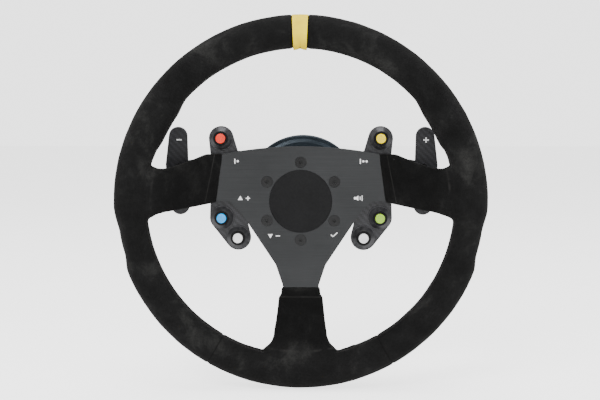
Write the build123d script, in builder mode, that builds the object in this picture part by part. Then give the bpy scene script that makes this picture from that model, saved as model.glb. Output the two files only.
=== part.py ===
from build123d import *
import math
import os

os.makedirs("parts", exist_ok=True)

# Quick release steering wheel, millimetres. +Z is up and the driver sits on the -Y side.
# The origin is the centre of the rear flange's back face, where a steering column bolts on,
# and the wheel turns about Y. A "station" is a distance from that face towards the driver.

# ---- driving dimensions -------------------------------------------------------------------
wheel_dia = 330.0        # over the rim
grip_across = 29.5       # rim section, across the radius
grip_deep = 28.0         # rim section, along the axis
suede_t = 1.2            # suede skin
core_r = 6.0             # steel rim tube
core_wall = 1.5
marker_width = 14.0      # centre marker band at twelve o'clock
rim_offset = 24.0        # rim centre in front of the spoke plate's own centre

mount_pcd = 70.0         # standard six-bolt wheel and column pattern
screw_count = 6
plate_t = 4.0            # aluminium spoke plate
spacer_t = 2.0
carbon_t = 3.0           # carbon button plate
screw_r = 2.5            # M5
screw_head_r = 5.2
cap_r = 28.3             # centre cap

flange_r = 57.0
flange_t = 10.0
register_r = 17.5        # locating bore in the flange's back face
register_deep = 6.0
hub_r = 32.0
hub_wall = 5.0
hub_len = 46.0
ridge_r = 35.0
nose_t = 6.0
spigot_r = 15.0          # male half of the quick release
spigot_bore = 11.0
spigot_reach = 21.0      # how far it enters the wheel's sleeve
ring_r = 29.0            # gold rings
ring_t = 11.0
ring_gap = 2.0           # shadow gap behind the rear gold ring
slide_fit = 0.05         # running clearance, radial
face_gap = 0.3           # gap between faces of pieces that part

sleeve_wall = 5.0
ball_r = 2.45
ball_count = 6
lip_t = 3.7
lip_r = 32.0
ear_reach = 39.0
collar_web = 5.0
collar_travel = 5.5
wheel_flange_r = 42.0
wheel_flange_t = 8.0
housing_r = 45.0
housing_deep = 12.0
housing_wall = 2.0

button_cap_r = 4.4
button_travel = 1.5
bezel_r = 10.6
bezel_h = 6.5
button_proud = 2.6       # cap above its bezel
switch_r = 5.0
switch_len = 12.0
# buttons as (name, across, up)
buttons = (
    ("red", -72.0, 56.5),
    ("yellow", 72.0, 56.5),
    ("blue", -71.5, -15.4),
    ("green", 71.5, -15.4),
    ("white_left", -56.8, -33.4),
    ("white_right", 56.8, -33.4),
)

block_in = 57.0          # shifter blocks, inner face to outer face
block_out = 80.0
block_low = 20.0
block_high = 44.0
block_deep = 20.0
lever_gap = 4.0          # room for the lever to swing
lever_t = 3.5
pin_r = 1.5
blade_x = 114.2
blade_half = 8.6
blade_top = 66.5
blade_low = -15.0
blade_t = 2.5
back_plate_t = 3.0

cord_r = 2.5
coil_r = 9.5
gland_r = 6.0
gland_neck_r = 3.4
plug_r = 6.5

# ---- stations worked out from them --------------------------------------------------------
hub_front = flange_t + hub_len
nose_front = hub_front + nose_t
ring_back = nose_front + ring_gap
ring_front = ring_back + ring_t
lip_back = ring_front + face_gap
collar_back = lip_back + lip_t
collar_front = collar_back + ring_t
housing_back = collar_front - housing_wall
wheel_flange_back = housing_back + housing_deep
carbon_back = wheel_flange_back + wheel_flange_t
spacer_back = carbon_back + carbon_t
plate_back = spacer_back + spacer_t
plate_front = plate_back + plate_t
rim_station = plate_front - plate_t / 2 + rim_offset
ball_station = collar_back + ball_r
sleeve_r = spigot_r + slide_fit
sleeve_out = sleeve_r + sleeve_wall
rim_r = wheel_dia / 2 - grip_across / 2
block_back = carbon_back - block_deep
lever_front = block_back - lever_gap
lever_back = lever_front - lever_t
pin_station = lever_front - lever_t / 2
pin_x = block_in + 4.0

# sections are drawn as (radius, station) on this plane and turned about the wheel's axis
SECTION = Plane(origin=(0, 0, 0), x_dir=(1, 0, 0), z_dir=(0, 0, -1))
# the upright plane through the axis, drawn as (station, height), for the cord
UPRIGHT = Plane(origin=(0, 0, 0), x_dir=(0, -1, 0), z_dir=(-1, 0, 0))


def facing(station):
    """A plane across the axis that faces the driver: its x is across, its y is up."""
    return Plane(origin=(0, -station, 0), x_dir=(1, 0, 0), z_dir=(0, -1, 0))


def save(part, name):
    part.label = name
    export_step(part, "parts/" + name + ".step")


def mirrored(part, name):
    """The same piece for the other hand."""
    with BuildPart() as other:
        add(part)
        mirror(about=Plane.YZ, mode=Mode.REPLACE)
    save(other.part, name)
    return other.part


# ---- hub: flange, body, nose --------------------------------------------------------------
flange_screw_ring = 23.0
with BuildPart() as hub_flange:
    with BuildSketch(SECTION):
        with BuildLine():
            Polyline(
                (0, register_deep), (register_r, register_deep), (register_r, 0),
                (flange_r - 1.5, 0), (flange_r, 1.5), (flange_r, flange_t - 3),
                (flange_r - 1.2, flange_t - 1.2), (flange_r - 4, flange_t - 1.2),
                (flange_r - 7, flange_t), (0, flange_t), close=True,
            )
        make_face()
    revolve(axis=Axis.Y)
    with BuildSketch(facing(0)):
        with PolarLocations(mount_pcd / 2, screw_count, start_angle=90):
            Circle(screw_r)
    extrude(amount=flange_t - 2.5, mode=Mode.SUBTRACT)
    with BuildSketch(facing(flange_t)):
        with PolarLocations(flange_screw_ring, screw_count, start_angle=60):
            Circle(screw_r + slide_fit)
    extrude(amount=-(flange_t - 2), mode=Mode.SUBTRACT)
save(hub_flange.part, "hub_flange")

web_t = 6.0
hub_bore = hub_r - hub_wall
ridge_w = 4.0
nose_screw_ring = hub_r - 0.6
nose_screw_r = 1.5
with BuildPart() as hub_body:
    with BuildSketch(SECTION):
        with BuildLine():
            Polyline(
                (0, flange_t), (hub_r + 5, flange_t), (hub_r + 5, flange_t + 2.5),
                (hub_r + 3, flange_t + 4), (hub_r + 3, flange_t + 6.5), (hub_r, flange_t + 9),
                (hub_r, hub_front - 12), (ridge_r - 0.6, hub_front - 11),
                (ridge_r - 0.6, hub_front - 11 + ridge_w), (hub_r + 0.8, hub_front - 6.2),
                (hub_r + 0.8, hub_front - 5.2), (ridge_r, hub_front - 4.4),
                (ridge_r, hub_front), (hub_bore, hub_front), (hub_bore, flange_t + web_t),
                (0, flange_t + web_t), close=True,
            )
        make_face()
    revolve(axis=Axis.Y)
    with BuildSketch(facing(flange_t)):
        with PolarLocations(flange_screw_ring, screw_count, start_angle=60):
            Circle(screw_r + slide_fit)
        Circle(8)
    extrude(amount=web_t, mode=Mode.SUBTRACT)
    with BuildSketch(facing(hub_front)):
        with PolarLocations(nose_screw_ring, screw_count, start_angle=90):
            Circle(nose_screw_r + slide_fit)
    extrude(amount=-10, mode=Mode.SUBTRACT)
save(hub_body.part, "hub_body")

with BuildPart() as flange_screws:
    with BuildSketch(facing(flange_t + web_t)):
        with PolarLocations(flange_screw_ring, screw_count, start_angle=60):
            Circle(3.9)
    extrude(amount=4)
    with BuildSketch(facing(flange_t + web_t + 4)):
        with PolarLocations(flange_screw_ring, screw_count, start_angle=60):
            RegularPolygon(2.2, 6)
    extrude(amount=-2.4, mode=Mode.SUBTRACT)
    with BuildSketch(facing(flange_t + web_t)):
        with PolarLocations(flange_screw_ring, screw_count, start_angle=60):
            Circle(screw_r)
    extrude(amount=-(web_t + 6))
save(flange_screws.part, "flange_screws")

spigot_foot_t = 5.0
with BuildPart() as hub_nose:
    with BuildSketch(facing(hub_front)):
        Circle(ridge_r - 0.8)
        Circle(spigot_r + slide_fit, mode=Mode.SUBTRACT)
    extrude(amount=nose_t)
    chamfer(hub_nose.edges().filter_by(GeomType.CIRCLE).group_by(Axis.Y)[0].sort_by(SortBy.RADIUS)[-1], 1)
    with BuildSketch(facing(hub_front)):
        with PolarLocations(nose_screw_ring, screw_count, start_angle=90):
            Circle(nose_screw_r + slide_fit)
    extrude(amount=nose_t, mode=Mode.SUBTRACT)
save(hub_nose.part, "hub_nose")

nose_head_r = 2.6
with BuildPart() as nose_screws:
    with BuildSketch(facing(nose_front)):
        with PolarLocations(nose_screw_ring, screw_count, start_angle=90):
            Circle(nose_head_r)
    extrude(amount=2.6)
    with BuildSketch(facing(nose_front + 2.6)):
        with PolarLocations(nose_screw_ring, screw_count, start_angle=90):
            RegularPolygon(1.4, 6)
    extrude(amount=-1.6, mode=Mode.SUBTRACT)
    with BuildSketch(facing(nose_front)):
        with PolarLocations(nose_screw_ring, screw_count, start_angle=90):
            Circle(nose_screw_r)
    extrude(amount=-(nose_t + 9))
save(nose_screws.part, "nose_screws")

# ---- quick release, hub half: steel spigot with ball groove and three keys, rear gold ring --
spigot_front = ring_front + spigot_reach
key_w = 4.0
key_h = 1.5
key_count = 3
key_angle = 30.0
with BuildPart() as qr_spigot:
    with BuildSketch(SECTION):
        with BuildLine():
            Polyline(
                (spigot_bore, hub_front - spigot_foot_t), (hub_bore - 1, hub_front - spigot_foot_t),
                (hub_bore - 1, hub_front), (spigot_r, hub_front),
                (spigot_r, ball_station - ball_r), (spigot_r - 2, ball_station - 0.6),
                (spigot_r - 2, ball_station + 0.6), (spigot_r, ball_station + ball_r),
                (spigot_r, spigot_front - 2), (spigot_r - 2, spigot_front),
                (spigot_bore, spigot_front), close=True,
            )
        make_face()
    revolve(axis=Axis.Y)
    with BuildSketch(facing(ball_station + ball_r + 1)):
        with PolarLocations(spigot_r - 1 + key_h / 2, key_count, start_angle=key_angle):
            Rectangle(key_h + 2, key_w)
    extrude(amount=spigot_front - 2.5 - (ball_station + ball_r + 1))
save(qr_spigot.part, "qr_spigot")

scallop_r = 9.0
scallop_count = 12
with BuildPart() as hub_gold_ring:
    with BuildSketch(SECTION):
        with BuildLine():
            Polyline(
                (spigot_r + slide_fit, nose_front), (ring_r - 5, nose_front),
                (ring_r - 5, ring_back), (ring_r - 1.2, ring_back), (ring_r, ring_back + 1.2),
                (ring_r, ring_front - 1.2), (ring_r - 1.2, ring_front),
                (spigot_r + slide_fit, ring_front), close=True,
            )
        make_face()
    revolve(axis=Axis.Y)
    with BuildSketch(facing(ring_back)):
        with PolarLocations(ring_r + scallop_r - 0.8, scallop_count):
            Circle(scallop_r)
    extrude(amount=ring_t, mode=Mode.SUBTRACT)
save(hub_gold_ring.part, "hub_gold_ring")

# ---- quick release, wheel half: flanged sleeve, balls, circlip ------------------------------
notch_count = 24
clip_station = collar_back - 1.4
clip_t = 1.2
clip_deep = 0.8
with BuildPart() as qr_sleeve:
    with BuildSketch(SECTION):
        with BuildLine():
            Polyline(
                (sleeve_r, lip_back), (sleeve_out - 0.6, lip_back), (sleeve_out, lip_back + 0.6),
                (sleeve_out, clip_station), (sleeve_out - clip_deep, clip_station),
                (sleeve_out - clip_deep, clip_station + clip_t), (sleeve_out, clip_station + clip_t),
                (sleeve_out, wheel_flange_back), (wheel_flange_r, wheel_flange_back),
                (wheel_flange_r, carbon_back), (sleeve_r, carbon_back), close=True,
            )
        make_face()
    revolve(axis=Axis.Y)
    with BuildSketch(facing(lip_back)):
        with PolarLocations(sleeve_r - 1 + key_h / 2, key_count, start_angle=key_angle):
            Rectangle(key_h + 2 + 0.6, key_w + 0.6)
    extrude(amount=carbon_back - lip_back, mode=Mode.SUBTRACT)
    with BuildSketch(facing(wheel_flange_back)):
        with PolarLocations(mount_pcd / 2, screw_count, start_angle=90):
            Circle(screw_r + slide_fit)
        with PolarLocations(wheel_flange_r + 0.6, notch_count):
            Circle(1.8)
    extrude(amount=wheel_flange_t, mode=Mode.SUBTRACT)
    for i in range(ball_count):
        turn = math.radians(i * 360 / ball_count)
        outward = (math.cos(turn), 0, math.sin(turn))
        with BuildSketch(Plane(origin=(0, -ball_station, 0), z_dir=outward)):
            Circle(ball_r + slide_fit)
        extrude(amount=sleeve_out + 1, mode=Mode.SUBTRACT)
save(qr_sleeve.part, "qr_sleeve")

with BuildPart() as locking_balls:
    with Locations(facing(ball_station)):
        with PolarLocations(sleeve_r + sleeve_wall / 2, ball_count):
            Sphere(ball_r)
save(locking_balls.part, "locking_balls")

with BuildPart() as collar_circlip:
    with BuildSketch(facing(clip_station)):
        Circle(sleeve_out + 1.4)
        Circle(sleeve_out - clip_deep + slide_fit, mode=Mode.SUBTRACT)
        with Locations((0, -sleeve_out)):
            Rectangle(5, 6, mode=Mode.SUBTRACT)
    extrude(amount=clip_t)
save(collar_circlip.part, "collar_circlip")

# ---- release collar: front gold ring with a bronze pull lip and two ears --------------------
pocket_r = ring_r - 2
with BuildPart() as release_collar:
    with BuildSketch(SECTION):
        with BuildLine():
            Polyline(
                (sleeve_out + slide_fit, collar_back), (ring_r - 1.2, collar_back),
                (ring_r, collar_back + 1.2), (ring_r, collar_front - 1.2),
                (ring_r - 1.2, collar_front), (pocket_r, collar_front),
                (pocket_r, collar_back + collar_web),
                (sleeve_out + slide_fit, collar_back + collar_web), close=True,
            )
        make_face()
    revolve(axis=Axis.Y)
    with BuildSketch(facing(collar_back + 3)):
        with PolarLocations(ring_r + scallop_r - 0.8, scallop_count, start_angle=15):
            Circle(scallop_r)
    extrude(amount=ring_t - 3, mode=Mode.SUBTRACT)
save(release_collar.part, "release_collar")

ear_w = 13.0
with BuildPart() as collar_lip:
    with BuildSketch(facing(lip_back)):
        Circle(lip_r)
        Rectangle(ear_w, 2 * ear_reach)
        Circle(sleeve_out + 2.6, mode=Mode.SUBTRACT)
    extrude(amount=lip_t)
save(collar_lip.part, "collar_lip")

spring_wire = 0.8
spring_mean = (sleeve_out + pocket_r) / 2
spring_low = collar_back + collar_web + spring_wire
spring_high = wheel_flange_back - spring_wire
with BuildPart() as collar_spring:
    with BuildLine() as coil:
        Helix(
            pitch=(spring_high - spring_low) / 4, height=spring_high - spring_low,
            radius=spring_mean, center=(0, -spring_low, 0), direction=(0, -1, 0),
        )
    with BuildSketch(Plane(origin=coil.line @ 0, z_dir=coil.line % 0)):
        Circle(spring_wire)
    sweep(path=coil.line, is_frenet=True)
save(collar_spring.part, "collar_spring")

# ---- electronics: ring housing, board, gland ------------------------------------------------
housing_in = ring_r + 1.5
housing_screw_ring = housing_r - housing_wall - 2.0
housing_screw_r = 1.25
rib_count = 20
gland_station = (housing_back + wheel_flange_back) / 2
gland_out = housing_r + 8.0
with BuildPart() as electronics_housing:
    with BuildSketch(SECTION):
        with BuildLine():
            Polyline(
                (housing_in, housing_back), (housing_r - 1.5, housing_back),
                (housing_r, housing_back + 1.5), (housing_r, wheel_flange_back),
                (housing_r - housing_wall, wheel_flange_back),
                (housing_r - housing_wall, housing_back + housing_wall),
                (housing_in + housing_wall, housing_back + housing_wall),
                (housing_in + housing_wall, wheel_flange_back),
                (housing_in, wheel_flange_back), close=True,
            )
        make_face()
    revolve(axis=Axis.Y)
    with BuildSketch(facing(housing_back + 2.5)):
        with PolarLocations(housing_r + 0.2, rib_count, start_angle=9):
            Rectangle(1.4, 5)
    extrude(amount=housing_deep - 5, mode=Mode.SUBTRACT)
    with BuildSketch(facing(housing_back)):
        with PolarLocations(housing_screw_ring, 4, start_angle=45):
            Circle(2.6)
    extrude(amount=housing_deep)
    with BuildSketch(facing(housing_back)):
        with PolarLocations(housing_screw_ring, 4, start_angle=45):
            Circle(housing_screw_r + slide_fit)
    extrude(amount=housing_deep, mode=Mode.SUBTRACT)
    with BuildSketch(Plane(origin=(0, -gland_station, 1 - housing_r + housing_wall), z_dir=(0, 0, -1))):
        Circle(gland_neck_r)
    extrude(amount=housing_wall + 2, mode=Mode.SUBTRACT)
save(electronics_housing.part, "electronics_housing")

with BuildPart() as housing_screws:
    with BuildSketch(facing(housing_back)):
        with PolarLocations(housing_screw_ring, 4, start_angle=45):
            Circle(2.3)
    extrude(amount=-1.6)
    with BuildSketch(facing(housing_back - 1.6)):
        with PolarLocations(housing_screw_ring, 4, start_angle=45):
            RegularPolygon(1.1, 6)
    extrude(amount=0.9, mode=Mode.SUBTRACT)
    with BuildSketch(facing(housing_back)):
        with PolarLocations(housing_screw_ring, 4, start_angle=45):
            Circle(housing_screw_r)
    extrude(amount=housing_deep)
save(housing_screws.part, "housing_screws")

board_t = 1.6
board_station = wheel_flange_back - 1.6 - board_t
with BuildPart() as circuit_board:
    with BuildSketch(facing(board_station)):
        Circle(housing_r - housing_wall - 0.4)
        Circle(housing_in + housing_wall + 0.4, mode=Mode.SUBTRACT)
        with PolarLocations(housing_screw_ring, 4, start_angle=45):
            Circle(3.1, mode=Mode.SUBTRACT)
    extrude(amount=board_t)
    with BuildSketch(facing(board_station)):
        with PolarLocations((housing_in + housing_r) / 2, 6):
            Rectangle(4, 6)
    extrude(amount=-1.2)
save(circuit_board.part, "circuit_board")

with BuildPart() as cable_gland:
    with BuildSketch(Plane(origin=(0, -gland_station, -gland_out), z_dir=(0, 0, 1))):
        Circle(gland_neck_r - slide_fit)
    extrude(amount=gland_out - housing_r + housing_wall)
    with BuildSketch(Plane(origin=(0, -gland_station, -gland_out), z_dir=(0, 0, 1))):
        RegularPolygon(gland_r - 0.4, 6)
    extrude(amount=gland_out - housing_r - 0.2)
    chamfer(cable_gland.faces().sort_by(Axis.Z)[0].edges(), 0.8)
save(cable_gland.part, "cable_gland")

# ---- plates at the middle of the wheel --------------------------------------------------------
wing_r = 11.1
lobe_r = 11.5
band_half = 68.0
band_low = -17.0
band_high = 40.0
with BuildPart() as button_plate:
    for side in (-1, 1):
        upper = [b for b in buttons if b[1] * side > 0 and b[2] > 0][0]
        outer, inner = [b for b in buttons if b[1] * side > 0 and b[2] < 0]
        with BuildSketch(facing(carbon_back)):
            with Locations((upper[1], upper[2])):
                Circle(wing_r)
            with Locations((side * (abs(upper[1]) - 4), band_high - 6)):
                Rectangle(2 * (wing_r + 1), 14)
            make_hull()
        extrude(amount=carbon_t)
        with BuildSketch(facing(carbon_back)):
            with Locations((outer[1], outer[2])):
                Circle(wing_r)
            with Locations((inner[1], inner[2])):
                Circle(lobe_r)
            with Locations((side * (abs(outer[1]) - 3), 4)):
                Rectangle(2 * (wing_r + 2), 12)
            make_hull()
        extrude(amount=carbon_t)
    with BuildSketch(facing(carbon_back)):
        with Locations((0, (band_low + band_high) / 2)):
            Rectangle(2 * band_half, band_high - band_low)
        Circle(wheel_flange_r)
    extrude(amount=carbon_t)
    with BuildSketch(facing(carbon_back)):
        Circle(sleeve_r + 1)
        with PolarLocations(mount_pcd / 2, screw_count, start_angle=90):
            Circle(screw_r + 0.25)
        with Locations([(b[1], b[2]) for b in buttons]):
            Circle(switch_r + slide_fit)
    extrude(amount=carbon_t, mode=Mode.SUBTRACT)
save(button_plate.part, "button_plate")

with BuildPart() as plate_spacer:
    with BuildSketch(facing(spacer_back)):
        Circle(wheel_flange_r)
        Circle(sleeve_r + 3, mode=Mode.SUBTRACT)
        with PolarLocations(mount_pcd / 2, screw_count, start_angle=90):
            Circle(screw_r + 0.25, mode=Mode.SUBTRACT)
    extrude(amount=spacer_t)
save(plate_spacer.part, "plate_spacer")

# ---- rim: steel tube, foam grip, suede skin, marker -------------------------------------------
# (angle from three o'clock, shift of the section outwards, half width) for the right-hand half
thumb = 1.65             # the grip swells inwards under the thumbs
palm = 1.6               # and is flattened outside, under the palms
half_grip = grip_across / 2
grip_stations = (
    (-90, 0, 0), (-76, 0, 0), (-62, 0, 0), (-48, 0, 0), (-34, 0, 0), (-26, -0.3, -0.3),
    (-18, -palm, -palm), (-9, -palm, -palm), (-2, -0.3, -0.3), (6, 0, 0), (15, 0, 0),
    (24, -thumb, thumb), (36, -thumb, thumb), (45, 0, 0), (56, 0, 0), (68, 0, 0), (79, 0, 0), (90, 0, 0),
)


def grip_half(inset):
    """Right-hand half of the grip as a solid, its surface set in by inset."""
    with BuildPart() as half:
        for angle, shift, swell in grip_stations:
            out = Vector(math.cos(math.radians(angle)), 0, math.sin(math.radians(angle)))
            along = Vector(-out.Z, 0, out.X)
            centre = out * (rim_r + shift) + Vector(0, -rim_station, 0)
            with BuildSketch(Plane(origin=centre, x_dir=out, z_dir=along)):
                Ellipse(half_grip + swell - inset, grip_deep / 2 - inset)
        loft()
    return half.part


grip_solid = grip_half(0)
foam_solid = grip_half(suede_t)

with BuildPart() as rim_core:
    with BuildSketch(SECTION):
        with Locations((rim_r, rim_station)):
            Circle(core_r)
            Circle(core_r - core_wall, mode=Mode.SUBTRACT)
    revolve(axis=Axis.Y)
save(rim_core.part, "rim_core")

# ---- spoke plate: one bent aluminium plate, three spokes welded to the rim tube ---------------
fold = 80.0              # side spokes start to rise here
fold_down = 84.0         # and the lower spoke here
rise_end = 136.0
spoke_end = rim_r - 1.5
cap_recess = 0.8


with BuildPart() as rim_tube_space:
    with BuildSketch(SECTION):
        with Locations((rim_r, rim_station)):
            Circle(core_r)
    revolve(axis=Axis.Y)


def rising_profile(start):
    """Edge profile of a plate that runs flat, rises to the rim and runs flat again."""
    low = [(0, plate_back), (start, plate_back), (rise_end, plate_back + rim_offset),
           (spoke_end, plate_back + rim_offset)]
    high = [(spoke_end, plate_front + rim_offset), (rise_end - 1.6, plate_front + rim_offset),
            (start - 1.6, plate_front), (0, plate_front)]
    return low + high


side_high = 27.5         # edges of a side spoke where it meets the rim tube
side_low = -5.5
lower_half = 19.0        # half width of the lower spoke there
with BuildPart() as lower_spoke:
    with BuildSketch(Plane.YZ):
        with BuildLine():
            Polyline(*[(-station, -z) for z, station in rising_profile(fold_down)], close=True)
        make_face()
    extrude(amount=lower_half + 20, both=True)
    with BuildSketch(facing(plate_back - 1)):
        with BuildLine():
            Polyline(
                (0, -60), (20, -61), (16.4, -76), (16.4, -77.4), (15.2, -78.5), (15.2, -90),
                (lower_half, -121), (lower_half, -rim_r - 2), (0, -rim_r - 2), close=True,
            )
        make_face()
        mirror(about=Plane.YZ)
    extrude(amount=60, mode=Mode.INTERSECT)

with BuildPart() as spoke_plate:
    with BuildSketch(Plane.XY):
        with BuildLine():
            Polyline(*[(x, -station) for x, station in rising_profile(fold)], close=True)
        make_face()
        mirror(about=Plane.YZ)
    extrude(amount=80, both=True)
    with BuildSketch(facing(plate_back - 1)):
        with BuildLine():
            ThreePointArc((-70, 42.6), (0, 49.4), (70, 42.6))
            right = Polyline(
                (70, 42.6), (71, 41), (fold, 39.5), (107, 31.5), (122, side_high),
                (rim_r + 2, side_high), (rim_r + 2, side_low), (122, side_low), (92, -1.5), (fold, 2),
                (76.8, 2), (76.2, 0.4), (64, 0), (54.5, -9), (44.6, -24.2), (22.6, -57.5),
                (16.4, -76), (0, -76),
            )
            mirror(right, about=Plane.YZ)
        make_face()
    extrude(amount=60, mode=Mode.INTERSECT)
    waist = [e for e in spoke_plate.edges().filter_by(Axis.Y)
             if -65 < e.center().Z < -5 and abs(e.center().X) < 60]
    fillet(waist, 8)
    add(lower_spoke.part)
    add(rim_tube_space.part, mode=Mode.SUBTRACT)
    with BuildSketch(facing(plate_back)):
        Circle(sleeve_r + 4)
        with PolarLocations(mount_pcd / 2, screw_count, start_angle=90):
            Circle(screw_r + 0.25)
    extrude(amount=plate_t, mode=Mode.SUBTRACT)
    with BuildSketch(facing(plate_front)):
        Circle(cap_r + slide_fit)
    extrude(amount=-cap_recess, mode=Mode.SUBTRACT)
    with Locations(facing(plate_front)):
        with PolarLocations(mount_pcd / 2, screw_count, start_angle=90):
            CounterSinkHole(radius=screw_r + 0.25, counter_sink_radius=screw_head_r + 0.1, depth=plate_t)
save(spoke_plate.part, "spoke_plate")

with BuildPart() as centre_cap:
    with BuildSketch(facing(plate_front - cap_recess)):
        Circle(cap_r)
    extrude(amount=cap_recess + 0.8)
    fillet(centre_cap.faces().sort_by(Axis.Y)[0].edges(), 0.5)
save(centre_cap.part, "centre_cap")

sunk = 0.2                # screw heads sit just below the plate
head_deep = screw_head_r - sunk - screw_r
with BuildPart() as plate_screws:
    with Locations(facing(plate_front - sunk)):
        with PolarLocations(mount_pcd / 2, screw_count, start_angle=90):
            Cone(bottom_radius=screw_r, top_radius=screw_head_r - sunk, height=head_deep,
                 align=(Align.CENTER, Align.CENTER, Align.MAX))
    with BuildSketch(facing(plate_front - sunk - head_deep)):
        with PolarLocations(mount_pcd / 2, screw_count, start_angle=90):
            Circle(screw_r)
    extrude(amount=-(plate_t + spacer_t + carbon_t + wheel_flange_t - head_deep - 1))
    with BuildSketch(facing(plate_front - sunk)):
        with PolarLocations(mount_pcd / 2, screw_count, start_angle=90):
            RegularPolygon(1.8, 6)
    extrude(amount=-2, mode=Mode.SUBTRACT)
save(plate_screws.part, "plate_screws")

# ---- foam and skins -----------------------------------------------------------------------------
with BuildPart() as rim_foam:
    add(foam_solid)
    mirror(about=Plane.YZ)
    add(rim_tube_space.part, mode=Mode.SUBTRACT)
    add(spoke_plate.part, mode=Mode.SUBTRACT)
save(rim_foam.part, "rim_foam")

with BuildPart() as suede_ring:
    add(grip_solid)
    add(foam_solid, mode=Mode.SUBTRACT)
    mirror(about=Plane.YZ)

marker_turn = math.degrees(marker_width / 2 / (rim_r + half_grip))
with BuildPart() as marker_sector:
    with BuildSketch(facing(rim_station - grip_deep)):
        Polygon(
            (0, 0), (-wheel_dia * math.tan(math.radians(marker_turn)), wheel_dia),
            (wheel_dia * math.tan(math.radians(marker_turn)), wheel_dia), align=None,
        )
    extrude(amount=2 * grip_deep)

with BuildPart() as rim_cover:
    add(suede_ring.part)
    add(marker_sector.part, mode=Mode.SUBTRACT)
    add(spoke_plate.part, mode=Mode.SUBTRACT)
save(rim_cover.part, "rim_cover")

with BuildPart() as centre_marker:
    add(suede_ring.part)
    add(marker_sector.part, mode=Mode.INTERSECT)
save(centre_marker.part, "centre_marker")

wrap_t = 7.6             # plate with its padding and suede


def rise(distance, start):
    """Station of the middle of a spoke at a distance from the axis."""
    share = min(max((distance - start) / (rise_end - start), 0), 1)
    return plate_front - plate_t / 2 + rim_offset * share


with BuildPart() as spoke_wrap_right:
    # (distance out, lower edge, upper edge, thickness)
    for out, low, high, thick in (
        (68, -1.0, 43.0, wrap_t), (fold, -1.2, 42.6, wrap_t), (90, -3.9, 39.6, wrap_t + 1.6),
        (107, -6.6, 33.4, wrap_t + 2.4), (122, -8.2, 29.8, wrap_t + 2.8),
        (rise_end, -9.6, 31, wrap_t + 3.4), (rim_r - 7, -10, 31.5, wrap_t + 3.4),
    ):
        place = Plane(origin=(out, -rise(out, fold), (low + high) / 2), x_dir=(0, 0, 1), z_dir=(1, 0, 0))
        with BuildSketch(place):
            RectangleRounded(high - low, thick, 3.4)
    loft(ruled=True)
    split(bisect_by=Plane(origin=(70, 0, 42.9), z_dir=(42.4, 0, 6)), keep=Keep.TOP)
    add(grip_solid, mode=Mode.SUBTRACT)
    add(spoke_plate.part, mode=Mode.SUBTRACT)
save(spoke_wrap_right.part, "spoke_wrap_right")
spoke_wrap_left = mirrored(spoke_wrap_right.part, "spoke_wrap_left")

with BuildPart() as spoke_wrap_lower:
    # (distance down, half width, thickness)
    for down, half, thick in (
        (77.8, 16.9, wrap_t), (fold_down, 17.0, wrap_t), (96, 18.0, wrap_t + 1.6),
        (121, 21.8, wrap_t + 2.8), (rise_end, 27, wrap_t + 3.4), (rim_r - 7, 28, wrap_t + 3.4),
    ):
        place = Plane(origin=(0, -rise(down, fold_down), -down), x_dir=(1, 0, 0), z_dir=(0, 0, -1))
        with BuildSketch(place):
            RectangleRounded(2 * half, thick, 3.4)
    loft(ruled=True)
    add(grip_solid, mode=Mode.SUBTRACT)
    add(mirror(grip_solid, about=Plane.YZ, mode=Mode.PRIVATE), mode=Mode.SUBTRACT)
    add(spoke_plate.part, mode=Mode.SUBTRACT)
save(spoke_wrap_lower.part, "spoke_wrap_lower")

# ---- push buttons ---------------------------------------------------------------------------------
places = [(x, up) for name, x, up in buttons]
bezel_front = spacer_back + bezel_h
mouth_r = button_cap_r + 0.15
skirt_r = mouth_r + 1.2
lip_deep = 2.6
cap_back = spacer_back + 0.5 + button_travel
switch_top = spacer_back
with BuildPart() as button_bezels:
    with BuildSketch(facing(spacer_back)):
        with Locations(places):
            Circle(bezel_r)
    extrude(amount=1.6)
    with Locations(facing(spacer_back + 1.6)):
        with Locations(places):
            Cone(bottom_radius=bezel_r - 0.3, top_radius=mouth_r + 1.9, height=bezel_h - 1.6,
                 align=(Align.CENTER, Align.CENTER, Align.MIN))
    with BuildSketch(facing(spacer_back)):
        with Locations(places):
            Circle(mouth_r)
    extrude(amount=bezel_h, mode=Mode.SUBTRACT)
    with BuildSketch(facing(spacer_back)):
        with Locations(places):
            Circle(skirt_r)
    extrude(amount=bezel_h - lip_deep, mode=Mode.SUBTRACT)
save(button_bezels.part, "button_bezels")

stem_r = 1.2
for name, across, up in buttons:
    with BuildPart() as button:
        with BuildSketch(facing(cap_back)):
            with Locations((across, up)):
                Circle(skirt_r - 0.15)
        extrude(amount=1.5)
        with BuildSketch(facing(cap_back)):
            with Locations((across, up)):
                Circle(button_cap_r)
        extrude(amount=bezel_front + button_proud - cap_back)
        fillet(button.faces().sort_by(Axis.Y)[0].edges(), 0.9)
        with BuildSketch(facing(cap_back)):
            with Locations((across, up)):
                Circle(stem_r)
        extrude(amount=-5)
    save(button.part, "button_" + name)

with BuildPart() as switch_bodies:
    with BuildSketch(facing(switch_top)):
        with Locations(places):
            Circle(switch_r)
    extrude(amount=-switch_len - 2)
    with BuildSketch(facing(switch_top - carbon_t - 3.2)):
        with Locations(places):
            Circle(switch_r + 1.6)
    extrude(amount=-switch_len + 3.5)
    with BuildSketch(facing(switch_top)):
        with Locations(places):
            Circle(stem_r + 0.3)
    extrude(amount=-6.5, mode=Mode.SUBTRACT)
    with BuildSketch(facing(switch_top - switch_len - 2)):
        for x, up in places:
            with Locations((x - 2, up), (x + 2, up)):
                Rectangle(0.6, 2)
    extrude(amount=-5)
save(switch_bodies.part, "switch_bodies")

with BuildPart() as switch_nuts:
    with BuildSketch(facing(carbon_back)):
        with Locations(places):
            RegularPolygon(switch_r + 1.9, 6)
            Circle(switch_r + slide_fit, mode=Mode.SUBTRACT)
    extrude(amount=-3)
save(switch_nuts.part, "switch_nuts")

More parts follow.
